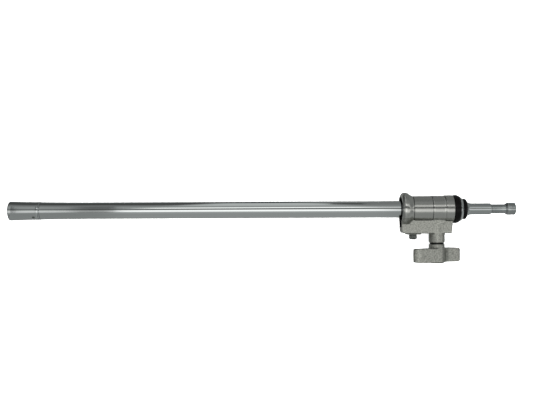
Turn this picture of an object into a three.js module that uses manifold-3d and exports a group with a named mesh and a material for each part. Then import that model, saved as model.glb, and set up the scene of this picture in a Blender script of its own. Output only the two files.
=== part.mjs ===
// Top riser of a lighting stand: a chromed tube with a 16 mm spigot stud on its upper end, sliding
// and turning in a die-cast clamp collar whose T-handle presses a shoe against the tube.
//
// Working frame: millimetres, the tube's axis on X with the stud towards +X and the collar's top
// end plane at X = 0, the T-handle towards -Y, +Z up. The finished group is moved so that the middle
// of its box's base is the origin.

import * as THREE from 'three';
import { mergeVertices } from 'three/addons/utils/BufferGeometryUtils.js';
import Module from 'manifold-3d';

const wasm = await Module();
wasm.setup();

// ---------------------------------------------------------------- clearances
const RUN_GAP = 0.35; // between pieces that move past each other
const SEAT_GAP = 0.1; // between pieces that are seated in or on each other
const CUT_MARGIN = 1.0; // how far a cutting tool reaches past the face that it leaves

// ---------------------------------------------------------------- riser tube and foot
const TUBE_RADIUS = 11.1; // 7/8 inch tube
const TUBE_WALL = 1.6;
const RISER_REACH = 588.8; // foot end to the collar's top end, pushed home
const FOOT_LENGTH = 39.6;
const FOOT_END_HEIGHT = 1.9; // bush above the tube at its foot
const FOOT_JOINT_HEIGHT = 0.88; // bush above the tube at the stop ring
const FOOT_EDGE_ROUND = 2.0;
const STOP_RING_LENGTH = 1.7;
const STOP_RING_HEIGHT = 0.95; // stands above the tube
const FOOT_GAP = 0.3; // either side of the stop ring
const SWELL_HEIGHT = 0.62; // the tube is expanded against the stop ring
const SWELL_LENGTH = 68;
const PLUG_FLANGE = 1.8;
const PLUG_LENGTH = 15;
const PLUG_RECESS = 0.9;
const FOOT_PIN_RADIUS = 1.5;
const FOOT_PIN_FROM_JOINT = 5.5;
const FOOT_PIN_DEPTH = 3.6;
const FOOT_PIN_ANGLES = [136, 316]; // degrees about X, from +Y towards +Z

// ---------------------------------------------------------------- stud, O-ring, thrust ring
const STUD_RADIUS = 7.55;
const STUD_NECK_RADIUS = 6.1;
const STUD_HEAD_RADIUS = 8.15; // 16 mm spigot
const STUD_BODY_LENGTH = 32.75; // lip of the O-ring groove to the neck
const STUD_NECK_LENGTH = 18.4;
const STUD_FLARE_LENGTH = 3.7;
const STUD_HEAD_LENGTH = 10.4;
const STUD_PLUG_DEPTH = 34;
const STUD_LIP_DROP = 0.5; // the groove's upper lip below the tube's surface
const STUD_CONE_LENGTH = 7.2;
const STUD_SHOULDER = 0.35;
const O_RING_SECTION = 2.35; // radius of the cord
const O_RING_RISE = 0.35; // the cord's centre line above the tube's surface
const THRUST_RING_LENGTH = 3.6;
const THRUST_RING_HEIGHT = 5.6; // above the tube, on the bumper's side
const THRUST_RING_TOP_HEIGHT = 3.7; // above the tube, on the stud's side
const STUD_PIN_RADIUS = 2.0;
const STUD_PIN_DEPTH = 22; // below the tube's top end

// ---------------------------------------------------------------- collar casting
const COLLAR_LENGTH = 69.2;
const BARREL_WALL = 1.55; // around the socket
const RIM_HEIGHT = 4.45; // above the barrel
const RIM_ROUND = 4.0;
const RIM_LENGTH = 8.3; // mouth face to the end of the rim's crown
const RIM_CONE = 6.2;
const END_BAND_LENGTH = 11;
const END_BAND_HEIGHT = 0.8; // above the barrel
const SOCKET_RADIUS = 16.15; // takes a 32 mm stand tube
const SOCKET_DEPTH = 39.4;
const MOUTH_CHAMFER = 1.15;
const STEP_GROOVE = 0.4;
const STEP_FROM_END = 28;
const RAIL_HALF_WIDTH = 10.2;
const RAIL_CORNER = 4.8;
const RAIL_END_DRAFT = 1.6;
const RAIL_SETBACK = 1.5; // the rail's end behind the collar's top end
const RAIL_EDGE_ROUND = 1.2;
const FLOOR_THICKNESS = 8.3; // between the shoe pocket and the rail's underside
const POCKET_HALF_WIDTH = 7.0;
const POCKET_END_WALL = 8;
const SCREW_PAD_LENGTH = 19;
const SCREW_PAD_HEIGHT = 1.6;

// ---------------------------------------------------------------- guide sleeve and bumper
const SLEEVE_WALL = 1.75;
const SLEEVE_FLANGE = 1.2;
const BUMPER_LENGTH = 7.8;
const BUMPER_OVERHANG = 0.3; // beyond the collar's end band
const BUMPER_SPIGOT_LENGTH = 3.0;
const BUMPER_SPIGOT_WALL = 3.05;

// ---------------------------------------------------------------- clamp
const SPINDLE_FROM_END = 21.2; // spindle axis to the collar's top end
const PAD_THICKNESS = 1.5;
const SHOE_HEIGHT = 6.75;
const SHOE_LENGTH = 23;
const SHOE_TRAVEL = 3.0; // two turns of a 1.5 mm thread
const SHOE_FLOOR_GAP = 1.0;
const BOSS_RADIUS = 10.6;
const BOSS_TOP_RADIUS = 10.5;
const BOSS_LENGTH = 12.3;
const INSERT_RADIUS = 7.9;
const INSERT_INSET = 0.5;
const SPINDLE_RADIUS = 5.0;
const SPINDLE_NOSE_RADIUS = 3.0;
const SPINDLE_NOSE_LENGTH = 3.2;
const WASHER_THICKNESS = 1.8;
const WASHER_RADIUS = 9.3;
const NECK_LENGTH = 5.7;
const HUB_RADIUS = 10.4;
const WING_HEIGHT = 18.8;
const WING_BEVEL = 1.6;
const WING_REACH = 36.3;
const HUB_CROWN = 1.3;
const HUB_END_WALL = 4; // metal beyond the spindle's end, up to the wings' lower faces
const HANDLE_TURN = 20; // degrees about the spindle at rest
const ROLL_PIN_RADIUS = 1.5;

// ---------------------------------------------------------------- tube fixing screw
const SCREW_FROM_MOUTH = 16.3;
const SCREW_RADIUS = 3.0;
const SCREW_HEAD_FLATS = 10.0;
const SCREW_HEAD_HEIGHT = 5.4;
const SCREW_HEAD_TIP_RADIUS = 3.3;
const LOCK_WASHER_THICKNESS = 1.0;
const SCREW_GRIP = 10.8;

// ---------------------------------------------------------------- derived places
const sleeveInner = TUBE_RADIUS + RUN_GAP;
const sleeveOuter = sleeveInner + SLEEVE_WALL;
const guideBore = sleeveOuter + SEAT_GAP;
const barrelRadius = SOCKET_RADIUS + BARREL_WALL;
const rimRadius = barrelRadius + RIM_HEIGHT;
const endBandRadius = barrelRadius + END_BAND_HEIGHT;
const bumperRadius = endBandRadius + BUMPER_OVERHANG;
const bumperBore = TUBE_RADIUS + 2 * RUN_GAP;
const bumperSpigot = bumperBore + BUMPER_SPIGOT_WALL;
const socketFloor = -COLLAR_LENGTH + SOCKET_DEPTH;
const padFace = TUBE_RADIUS + RUN_GAP;
const shoeFace = padFace + PAD_THICKNESS;
const shoeDrop = shoeFace + SHOE_HEIGHT;
const pocketDrop = shoeDrop + SHOE_TRAVEL + SHOE_FLOOR_GAP;
const railDrop = pocketDrop + FLOOR_THICKNESS;
const bossDrop = railDrop + BOSS_LENGTH;
const bossStart = 0.65 * barrelRadius; // inside the barrel, so the boss grows out of it
const neckDrop = bossDrop + WASHER_THICKNESS;
const wingDrop = neckDrop + NECK_LENGTH;
const wingEndDrop = wingDrop + WING_HEIGHT;
const hubEndDrop = wingEndDrop + HUB_CROWN;
const spindleEnd = wingEndDrop - HUB_END_WALL;
const spindleX = -SPINDLE_FROM_END;
const screwX = -COLLAR_LENGTH + SCREW_FROM_MOUTH;
const footEnd = -RISER_REACH;
const footEndRadius = TUBE_RADIUS + FOOT_END_HEIGHT;
const footJointRadius = TUBE_RADIUS + FOOT_JOINT_HEIGHT;
const footJoint = footEnd + FOOT_LENGTH;
const stopRingStart = footJoint + FOOT_GAP;
const swellStart = stopRingStart + STOP_RING_LENGTH + FOOT_GAP;
const tubeFoot = footEnd + PLUG_RECESS + PLUG_FLANGE + SEAT_GAP;
const thrustRingStart = BUMPER_LENGTH + RUN_GAP;
const thrustRingEnd = thrustRingStart + THRUST_RING_LENGTH;
const tubeTop = thrustRingEnd + RUN_GAP;
const studShoulder = tubeTop + SEAT_GAP;
const studLipRadius = TUBE_RADIUS - STUD_LIP_DROP;
const oRingRadius = TUBE_RADIUS + O_RING_RISE;
const grooveStart = studShoulder + STUD_SHOULDER;
const grooveEnd = grooveStart + 2 * (O_RING_SECTION + SEAT_GAP);
const neckStart = grooveEnd + STUD_BODY_LENGTH;
const flareStart = neckStart + STUD_NECK_LENGTH;
const headStart = flareStart + STUD_FLARE_LENGTH;
const studTip = headStart + STUD_HEAD_LENGTH;

// ---------------------------------------------------------------- finishes
const finish = (color, roughness, metalness) =>
  new THREE.MeshStandardMaterial({ color, roughness, metalness });
const CHROME = finish(0xb9bec0, 0.12, 1.0);
const CAST_ALUMINIUM = finish(0x9a9d99, 0.42, 1.0);
const SATIN_STEEL = finish(0x8d9394, 0.3, 1.0);
const DARK_STEEL = finish(0x4c4f4e, 0.45, 1.0);
const BRASS = finish(0xb08d4a, 0.35, 1.0);
const RUBBER = finish(0x0c0c0d, 0.7, 0.0);
const NYLON = finish(0x1b1c1d, 0.55, 0.0);
const FIBRE = finish(0x5c3b2a, 0.8, 0.0);

// ---------------------------------------------------------------- geometry helpers
const MERGE_TOLERANCE = 1e-4;
const FINE = 36; // sides of a large round
const COARSE = 20; // sides of a small round
const WING_SIDES = 54; // sides of the handle's outline

// A closed geometry as a solid that can be cut and joined.
function solid(geometry) {
  const bare = geometry.clone();
  bare.deleteAttribute('normal');
  bare.deleteAttribute('uv');
  const merged = mergeVertices(bare, MERGE_TOLERANCE);
  const index = merged.index.array;
  const triangles = [];
  for (let i = 0; i < index.length; i += 3) {
    const [a, b, c] = [index[i], index[i + 1], index[i + 2]];
    if (a !== b && b !== c && c !== a) {
      triangles.push(a, b, c);
    }
  }
  return new wasm.Manifold(new wasm.Mesh({
    numProp: 3,
    vertProperties: new Float32Array(merged.attributes.position.array),
    triVerts: new Uint32Array(triangles),
  }));
}

// A named mesh of a solid, in one finish.
function piece(name, body, material) {
  const cut = body.getMesh();
  const geometry = new THREE.BufferGeometry();
  geometry.setAttribute('position', new THREE.BufferAttribute(cut.vertProperties, 3));
  geometry.setIndex(new THREE.BufferAttribute(cut.triVerts, 1));
  geometry.computeVertexNormals();
  const mesh = new THREE.Mesh(geometry, material);
  mesh.name = name;
  return mesh;
}

// A round about the X axis. The outline is a list of [x, radius] that runs towards +X on the
// outside; a tube's outline comes back along its bore to where it began.
function turnedOnX(outline, sides = FINE) {
  const lathe = new THREE.LatheGeometry(outline.map(([x, r]) => new THREE.Vector2(r, x)), sides);
  return solid(lathe.rotateZ(-Math.PI / 2));
}

// A round about a line along -Y through (x, 0). The outline is a list of [drop, radius], where
// drop is the distance below the tube's axis.
function turnedDown(outline, x, sides = COARSE) {
  const lathe = new THREE.LatheGeometry(outline.map(([d, r]) => new THREE.Vector2(r, d)), sides);
  return solid(lathe.rotateX(Math.PI).translate(x, 0, 0));
}

// The outline of a plain cylinder for the two functions above.
function rod(start, end, radius) {
  return [[start, 0], [start, radius], [end, radius], [end, 0]];
}

// The closed outline of a plain ring.
function ring(start, end, inner, outer) {
  return [[start, inner], [start, outer], [end, outer], [end, inner], [start, inner]];
}

// Points on an arc, with both ends, as [x, y].
function arc(centreX, centreY, radius, fromDegrees, toDegrees, steps) {
  return Array.from({ length: steps + 1 }, (_, i) => {
    const angle = THREE.MathUtils.degToRad(fromDegrees + ((toDegrees - fromDegrees) * i) / steps);
    return [centreX + radius * Math.cos(angle), centreY + radius * Math.sin(angle)];
  });
}

// A box between two corners.
function block(low, high) {
  const size = high.map((value, i) => value - low[i]);
  const box = new THREE.BoxGeometry(...size);
  return solid(box.translate(...low.map((value, i) => value + size[i] / 2)));
}

// A plate of one outline, a list of [x, y], from -halfWidth to +halfWidth in Z.
function plate(outline, halfWidth) {
  const shape = new THREE.Shape(outline.map(([x, y]) => new THREE.Vector2(x, y)));
  const slab = new THREE.ExtrudeGeometry(shape, { depth: 2 * halfWidth, bevelEnabled: false });
  return solid(slab.translate(0, 0, -halfWidth));
}

// A pin from the inner to the outer radius, square to the X axis at x, turned about X by degrees
// from +Y towards +Z.
function radialPin(x, inner, outer, radius, degrees) {
  const pin = new THREE.CylinderGeometry(radius, radius, outer - inner, COARSE);
  pin.translate(0, (inner + outer) / 2, 0);
  pin.rotateX(THREE.MathUtils.degToRad(degrees));
  return solid(pin.translate(x, 0, 0));
}

// ---------------------------------------------------------------- collar casting
// Barrel with a rounded rim at the mouth, a raised band at the top end and a turned step line.
function collarBarrel() {
  const mouth = -COLLAR_LENGTH;
  const crownEnd = mouth + RIM_LENGTH;
  const step = -STEP_FROM_END;
  return turnedOnX([
    [mouth, 0],
    ...arc(mouth + RIM_ROUND, rimRadius - RIM_ROUND, RIM_ROUND, 180, 90, 5),
    [crownEnd, rimRadius],
    [crownEnd + 0.25 * RIM_CONE, rimRadius - 0.15 * (rimRadius - barrelRadius)],
    [crownEnd + 0.8 * RIM_CONE, barrelRadius + 0.1 * (rimRadius - barrelRadius)],
    [crownEnd + RIM_CONE, barrelRadius],
    [step - STEP_GROOVE, barrelRadius],
    [step, barrelRadius - STEP_GROOVE],
    [step + STEP_GROOVE, barrelRadius],
    [-END_BAND_LENGTH - 1, barrelRadius],
    [-END_BAND_LENGTH, endBandRadius],
    [-0.8, endBandRadius],
    [0, endBandRadius - 0.8],
    [0, 0],
  ]);
}

// Rail below the barrel, with a rounded corner at the mouth, the pad under the fixing screw and a
// drafted top end.
function collarRail() {
  const mouth = -COLLAR_LENGTH;
  const padHalf = SCREW_PAD_LENGTH / 2;
  const pad = railDrop + SCREW_PAD_HEIGHT;
  const padStart = Math.max(screwX - padHalf, mouth + RAIL_CORNER + SCREW_PAD_HEIGHT);
  const draft = -RAIL_SETBACK - RAIL_END_DRAFT;
  return plate([
    [mouth, -0.5 * barrelRadius],
    ...arc(mouth + RAIL_CORNER, -railDrop + RAIL_CORNER, RAIL_CORNER, 180, 270, 6),
    [padStart, -pad],
    [screwX + padHalf, -pad],
    [screwX + padHalf + SCREW_PAD_HEIGHT, -railDrop],
    ...arc(draft - RAIL_EDGE_ROUND, -railDrop + RAIL_EDGE_ROUND, RAIL_EDGE_ROUND, 270, 360, 3),
    [-RAIL_SETBACK, -0.5 * barrelRadius],
  ], RAIL_HALF_WIDTH);
}

// Everything that is cut out of the casting: the socket for the stand's tube with its chamfered
// mouth, the guide bore, the bumper's counterbore, the shoe pocket and the two threaded holes.
function collarCuts() {
  const mouth = -COLLAR_LENGTH;
  const mouthRadius = SOCKET_RADIUS + MOUTH_CHAMFER;
  const socket = turnedOnX([
    [mouth - CUT_MARGIN, 0],
    [mouth - CUT_MARGIN, mouthRadius + CUT_MARGIN],
    [mouth + MOUTH_CHAMFER, SOCKET_RADIUS],
    [socketFloor, SOCKET_RADIUS],
    [socketFloor, 0],
  ]);
  const guide = turnedOnX(rod(socketFloor - CUT_MARGIN, CUT_MARGIN, guideBore));
  const counterbore = turnedOnX(rod(
    -BUMPER_SPIGOT_LENGTH - SEAT_GAP, CUT_MARGIN, bumperSpigot + SEAT_GAP));
  const pocket = block(
    [mouth - CUT_MARGIN, -pocketDrop, -POCKET_HALF_WIDTH],
    [-POCKET_END_WALL, 0, POCKET_HALF_WIDTH]);
  const spindleHole = turnedDown(
    rod(pocketDrop - CUT_MARGIN, bossDrop + CUT_MARGIN, INSERT_RADIUS + SEAT_GAP), spindleX);
  const screwHole = turnedDown(
    rod(pocketDrop - CUT_MARGIN, railDrop + SCREW_PAD_HEIGHT + CUT_MARGIN, SCREW_RADIUS + SEAT_GAP),
    screwX);
  return [socket, guide, counterbore, pocket, spindleHole, screwHole];
}

function collarCasting() {
  const boss = turnedDown([
    [bossStart, 0],
    [bossStart, BOSS_RADIUS],
    [bossDrop - 0.6, BOSS_TOP_RADIUS],
    [bossDrop, BOSS_TOP_RADIUS - 0.6],
    [bossDrop, 0],
  ], spindleX, FINE);
  const blank = collarBarrel().add(collarRail()).add(boss);
  return collarCuts().reduce((casting, tool) => casting.subtract(tool), blank);
}

// ---------------------------------------------------------------- pieces fixed in the collar
// Nylon sleeve that guides the tube. Its flange covers the socket's floor, and a window in its
// lower side lets the clamp shoe through.
function guideSleeve() {
  const end = -BUMPER_SPIGOT_LENGTH - 2 * SEAT_GAP;
  const flangeStart = socketFloor - SEAT_GAP - SLEEVE_FLANGE;
  const flangeRadius = SOCKET_RADIUS - SEAT_GAP;
  const sleeve = turnedOnX([
    [flangeStart, sleeveInner],
    [flangeStart, flangeRadius],
    [flangeStart + SLEEVE_FLANGE, flangeRadius],
    [flangeStart + SLEEVE_FLANGE, sleeveOuter],
    [end, sleeveOuter],
    [end, sleeveInner],
    [flangeStart, sleeveInner],
  ]);
  const halfWidth = POCKET_HALF_WIDTH + RUN_GAP;
  const window = block(
    [flangeStart - CUT_MARGIN, -SOCKET_RADIUS - CUT_MARGIN, -halfWidth],
    [-POCKET_END_WALL, -0.5 * TUBE_RADIUS, halfWidth]);
  return sleeve.subtract(window);
}

// Rubber ring that the riser lands on, plugged into the collar's top end by its spigot.
function bumperRing() {
  const start = SEAT_GAP;
  return turnedOnX([
    [-BUMPER_SPIGOT_LENGTH, bumperBore],
    [-BUMPER_SPIGOT_LENGTH, bumperSpigot],
    [start, bumperSpigot],
    [start, bumperRadius - 0.9],
    [start + 0.9, bumperRadius - 0.2],
    [0.31 * BUMPER_LENGTH, bumperRadius],
    [0.52 * BUMPER_LENGTH, bumperRadius - 0.2],
    [0.76 * BUMPER_LENGTH, bumperRadius - 0.75],
    [0.92 * BUMPER_LENGTH, bumperRadius - 1.35],
    [BUMPER_LENGTH, bumperRadius - 1.9],
    [BUMPER_LENGTH, bumperBore],
    [-BUMPER_SPIGOT_LENGTH, bumperBore],
  ]);
}

// Threaded insert in the boss that carries the spindle.
function spindleInsert() {
  return turnedDown(
    ring(pocketDrop + INSERT_INSET, bossDrop - INSERT_INSET, SPINDLE_RADIUS + RUN_GAP, INSERT_RADIUS),
    spindleX);
}

// Hexagon-headed screw that fixes the collar to the stand's tube, its head domed to a small tip.
function fixingScrew() {
  const seat = railDrop + SCREW_PAD_HEIGHT + LOCK_WASHER_THICKNESS + 2 * SEAT_GAP;
  const headEnd = seat + SCREW_HEAD_HEIGHT;
  const corner = SCREW_HEAD_FLATS / Math.sqrt(3);
  const hexagon = turnedDown(rod(seat, headEnd, corner), screwX, 6);
  const dome = turnedDown([
    [seat - CUT_MARGIN, 0],
    [seat - CUT_MARGIN, corner + CUT_MARGIN],
    [seat + 0.5 * SCREW_HEAD_HEIGHT, corner],
    [seat + 0.85 * SCREW_HEAD_HEIGHT, SCREW_HEAD_TIP_RADIUS + 0.5],
    [headEnd, SCREW_HEAD_TIP_RADIUS],
    [headEnd, 0],
  ], screwX);
  const shank = turnedDown(rod(seat - SCREW_GRIP, seat + CUT_MARGIN, SCREW_RADIUS), screwX);
  return hexagon.intersect(dome).add(shank);
}

// Split spring washer under the screw's head.
function lockWasher() {
  const top = railDrop + SCREW_PAD_HEIGHT + SEAT_GAP;
  const outer = 0.5 * SCREW_HEAD_FLATS;
  const washer = turnedDown(
    ring(top, top + LOCK_WASHER_THICKNESS, SCREW_RADIUS + SEAT_GAP, outer), screwX);
  const split = block(
    [screwX, -top - LOCK_WASHER_THICKNESS - CUT_MARGIN, -0.4],
    [screwX + outer + CUT_MARGIN, -top + CUT_MARGIN, 0.4]);
  return washer.subtract(split);
}

// ---------------------------------------------------------------- clamp shoe
const shoeStart = spindleX - SHOE_LENGTH / 2;
const shoeHalfWidth = POCKET_HALF_WIDTH - RUN_GAP;

// Block that the spindle drives, hollowed to the liner's radius, with a socket for the spindle.
function clampShoe() {
  const body = block(
    [shoeStart, -shoeDrop, -shoeHalfWidth],
    [shoeStart + SHOE_LENGTH, -shoeFace + PAD_THICKNESS, shoeHalfWidth]);
  const hollow = turnedOnX(
    rod(shoeStart - CUT_MARGIN, shoeStart + SHOE_LENGTH + CUT_MARGIN, shoeFace + SEAT_GAP));
  const socket = turnedDown(
    rod(shoeDrop - SPINDLE_NOSE_LENGTH, shoeDrop + CUT_MARGIN, SPINDLE_NOSE_RADIUS + RUN_GAP),
    spindleX);
  return body.subtract(hollow).subtract(socket);
}

// Thin liner between the shoe and the tube.
function shoeLiner() {
  const band = turnedOnX(ring(shoeStart, shoeStart + SHOE_LENGTH, padFace, shoeFace));
  const keep = block(
    [shoeStart - CUT_MARGIN, -shoeDrop, -shoeHalfWidth],
    [shoeStart + SHOE_LENGTH + CUT_MARGIN, 0, shoeHalfWidth]);
  return band.intersect(keep);
}

// ---------------------------------------------------------------- T-handle and spindle
// Threaded spindle: a nose that turns in the shoe's socket, and a shank that ends in the hub.
function spindle() {
  const shoulder = shoeDrop + RUN_GAP;
  const shank = turnedDown([
    [shoeDrop - SPINDLE_NOSE_LENGTH + RUN_GAP, 0],
    [shoeDrop - SPINDLE_NOSE_LENGTH + RUN_GAP, SPINDLE_NOSE_RADIUS - 0.5],
    [shoeDrop - SPINDLE_NOSE_LENGTH + RUN_GAP + 0.5, SPINDLE_NOSE_RADIUS],
    [shoulder, SPINDLE_NOSE_RADIUS],
    [shoulder, SPINDLE_RADIUS - 0.6],
    [shoulder + 0.6, SPINDLE_RADIUS],
    [spindleEnd, SPINDLE_RADIUS],
    [spindleEnd, 0],
  ], spindleX);
  return shank.subtract(rollPin(SEAT_GAP));
}

// Black washer between the boss and the handle's neck.
function spindleWasher() {
  return turnedDown(
    ring(bossDrop + RUN_GAP, neckDrop - SEAT_GAP, SPINDLE_RADIUS + SEAT_GAP, WASHER_RADIUS),
    spindleX, FINE);
}

// One wing's outline from the hub's front to its back, as shares of the wing's reach along the
// handle and millimetres across it. The other wing is the same turned half round.
const WING_OUTLINE = [
  [0, 10.4], [-0.33, 10.2], [-0.66, 9.4], [-0.88, 8.0], [-0.98, 5.2], [-1, 2.0],
  [-0.97, -1.0], [-0.88, -2.6], [-0.7, -1.7], [-0.5, -0.8], [-0.33, -2.2], [-0.24, -6.0],
];

// Turns handle coordinates (along the wings, across them) into X and Z about the spindle.
function onHandle(along, across) {
  const turn = THREE.MathUtils.degToRad(HANDLE_TURN);
  return new THREE.Vector3(
    spindleX + along * Math.cos(turn) + across * Math.sin(turn),
    -along * Math.sin(turn) + across * Math.cos(turn),
    0);
}

function tHandle() {
  const half = WING_OUTLINE.map(([share, across]) => [share * WING_REACH, across]);
  const whole = [...half, ...half.map(([along, across]) => [-along, -across])];
  const curve = new THREE.CatmullRomCurve3(whole.map(([a, c]) => onHandle(a, c)), true);
  const outline = curve.getPoints(WING_SIDES).slice(0, -1);
  const shape = new THREE.Shape(outline.map((point) => new THREE.Vector2(point.x, point.y)));
  const wings = new THREE.ExtrudeGeometry(shape, {
    depth: WING_HEIGHT - 2 * WING_BEVEL,
    bevelThickness: WING_BEVEL,
    bevelSize: WING_BEVEL,
    bevelOffset: -WING_BEVEL,
    bevelSegments: 2,
  });
  wings.rotateX(Math.PI / 2);
  wings.translate(0, -wingDrop - WING_BEVEL, 0);
  const hub = turnedDown([
    [neckDrop, 0],
    [neckDrop, HUB_RADIUS - 0.7],
    [neckDrop + 0.7, HUB_RADIUS - 0.1],
    [wingDrop, HUB_RADIUS],
    [hubEndDrop - 1.2, HUB_RADIUS],
    [hubEndDrop, HUB_RADIUS - 1.6],
    [hubEndDrop, 0],
  ], spindleX, FINE);
  const bore = turnedDown(
    rod(neckDrop - CUT_MARGIN, spindleEnd + SEAT_GAP, SPINDLE_RADIUS + SEAT_GAP), spindleX);
  return solid(wings).add(hub).subtract(bore).subtract(rollPin(SEAT_GAP));
}

// Roll pin that ties the handle to the spindle, from the back of the hub to past the spindle.
function rollPin(clearance) {
  const back = -HUB_RADIUS + 0.4;
  const front = SPINDLE_RADIUS + 2;
  const radius = ROLL_PIN_RADIUS + clearance;
  const length = front - back + 2 * clearance;
  const pin = new THREE.CylinderGeometry(radius, radius, length, COARSE);
  pin.rotateX(Math.PI / 2).translate(0, 0, (back + front) / 2);
  pin.rotateY(THREE.MathUtils.degToRad(HANDLE_TURN));
  return solid(pin.translate(spindleX, -wingDrop - WING_HEIGHT / 2, 0));
}

// ---------------------------------------------------------------- riser
function footPins(clearance) {
  const x = footJoint - FOOT_PIN_FROM_JOINT;
  const outer = footJointRadius - SEAT_GAP;
  return FOOT_PIN_ANGLES.map((degrees) => radialPin(
    x, outer - FOOT_PIN_DEPTH - clearance, outer + 30 * clearance, FOOT_PIN_RADIUS + clearance,
    degrees));
}

function studPin(clearance) {
  const half = TUBE_RADIUS - SEAT_GAP + 20 * clearance;
  const pin = new THREE.CylinderGeometry(
    STUD_PIN_RADIUS + clearance, STUD_PIN_RADIUS + clearance, 2 * half, COARSE);
  return solid(pin.rotateX(Math.PI / 2).translate(tubeTop - STUD_PIN_DEPTH, 0, 0));
}

// Chromed tube, expanded behind the stop ring and swaged down over the swell's length.
function riserTube() {
  const inner = TUBE_RADIUS - TUBE_WALL;
  const tube = turnedOnX([
    [tubeFoot, inner],
    [tubeFoot, TUBE_RADIUS],
    [swellStart, TUBE_RADIUS],
    [swellStart, TUBE_RADIUS + SWELL_HEIGHT - 0.3],
    [swellStart + 0.4, TUBE_RADIUS + SWELL_HEIGHT],
    [swellStart + 0.36 * SWELL_LENGTH, TUBE_RADIUS + 0.42 * SWELL_HEIGHT],
    [swellStart + 0.68 * SWELL_LENGTH, TUBE_RADIUS + 0.1 * SWELL_HEIGHT],
    [swellStart + SWELL_LENGTH, TUBE_RADIUS],
    [tubeTop - 0.4, TUBE_RADIUS],
    [tubeTop, TUBE_RADIUS - 0.4],
    [tubeTop, inner],
    [tubeFoot, inner],
  ]);
  return [...footPins(SEAT_GAP), studPin(SEAT_GAP)].reduce((cut, pin) => cut.subtract(pin), tube);
}

// Steel bush on the tube's lower end, wider and rounded at its foot, which keeps the riser from
// being drawn out through the collar.
function footBush() {
  const bore = TUBE_RADIUS + SEAT_GAP;
  const taper = footEndRadius - footJointRadius;
  const bush = turnedOnX([
    [footEnd, bore],
    ...arc(footEnd + FOOT_EDGE_ROUND, footEndRadius - FOOT_EDGE_ROUND + 0.3, FOOT_EDGE_ROUND - 0.3,
      180, 90, 4),
    [footEnd + 0.17 * FOOT_LENGTH, footEndRadius - 0.22 * taper],
    [footEnd + 0.45 * FOOT_LENGTH, footEndRadius - 0.6 * taper],
    [footEnd + 0.75 * FOOT_LENGTH, footEndRadius - 0.88 * taper],
    [footJoint - 0.3, footJointRadius],
    [footJoint, footJointRadius - 0.3],
    [footJoint, bore],
    [footEnd, bore],
  ]);
  return footPins(SEAT_GAP).reduce((cut, pin) => cut.subtract(pin), bush);
}

function stopRing() {
  const outer = TUBE_RADIUS + STOP_RING_HEIGHT;
  const end = stopRingStart + STOP_RING_LENGTH;
  return turnedOnX([
    [stopRingStart, TUBE_RADIUS + SEAT_GAP],
    [stopRingStart, outer - 0.3],
    [stopRingStart + 0.3, outer],
    [end - 0.3, outer],
    [end, outer - 0.3],
    [end, TUBE_RADIUS + SEAT_GAP],
    [stopRingStart, TUBE_RADIUS + SEAT_GAP],
  ]);
}

// Plastic plug that closes the tube's lower end.
function footPlug() {
  const start = footEnd + PLUG_RECESS;
  const body = TUBE_RADIUS - TUBE_WALL - SEAT_GAP;
  return turnedOnX([
    [start, 0],
    [start, TUBE_RADIUS - SEAT_GAP],
    [start + PLUG_FLANGE, TUBE_RADIUS - SEAT_GAP],
    [start + PLUG_FLANGE, body],
    [start + PLUG_LENGTH - 1, body],
    [start + PLUG_LENGTH, body - 1],
    [start + PLUG_LENGTH, 0],
  ]);
}

// Spigot stud: a plug in the tube, a shoulder on its end, the O-ring's groove, a cone down to the
// body, the undercut neck and the head.
function spigotStud() {
  const plug = TUBE_RADIUS - TUBE_WALL - SEAT_GAP;
  const floor = oRingRadius - O_RING_SECTION - SEAT_GAP;
  const coneDrop = studLipRadius - STUD_RADIUS;
  const stud = turnedOnX([
    [tubeTop - STUD_PLUG_DEPTH, 0],
    [tubeTop - STUD_PLUG_DEPTH, plug - 1],
    [tubeTop - STUD_PLUG_DEPTH + 1, plug],
    [studShoulder, plug],
    [studShoulder, TUBE_RADIUS],
    [grooveStart, TUBE_RADIUS],
    [grooveStart, floor],
    [grooveEnd, floor],
    [grooveEnd, studLipRadius],
    [grooveEnd + 0.45 * STUD_CONE_LENGTH, studLipRadius - 0.66 * coneDrop],
    [grooveEnd + 0.8 * STUD_CONE_LENGTH, studLipRadius - 0.93 * coneDrop],
    [grooveEnd + STUD_CONE_LENGTH, STUD_RADIUS],
    [neckStart - 1, STUD_RADIUS],
    [neckStart, STUD_RADIUS - 0.5],
    [neckStart + 0.2, STUD_NECK_RADIUS],
    [flareStart, STUD_NECK_RADIUS],
    [headStart - 0.6, STUD_HEAD_RADIUS - 0.35],
    [headStart, STUD_HEAD_RADIUS],
    [studTip - 1.3, STUD_HEAD_RADIUS],
    [studTip - 0.35, STUD_HEAD_RADIUS - 0.6],
    [studTip, STUD_HEAD_RADIUS - 1.4],
    [studTip, 0],
  ]);
  return stud.subtract(studPin(SEAT_GAP));
}

function oRing() {
  const centre = (grooveStart + grooveEnd) / 2;
  return turnedOnX(arc(centre, oRingRadius, O_RING_SECTION, 180, -180, 14));
}

// Chromed ring between the bumper and the stud's shoulder, loose on the tube.
function thrustRing() {
  const bore = TUBE_RADIUS + RUN_GAP;
  const wide = TUBE_RADIUS + THRUST_RING_HEIGHT;
  const narrow = TUBE_RADIUS + THRUST_RING_TOP_HEIGHT;
  return turnedOnX([
    [thrustRingStart, bore],
    [thrustRingStart, wide - 0.4],
    [thrustRingStart + 0.4, wide],
    [thrustRingStart + 0.4 * THRUST_RING_LENGTH, wide - 0.4],
    [thrustRingEnd - 0.4, narrow + 0.2],
    [thrustRingEnd, narrow - 0.3],
    [thrustRingEnd, bore],
    [thrustRingStart, bore],
  ]);
}

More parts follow.
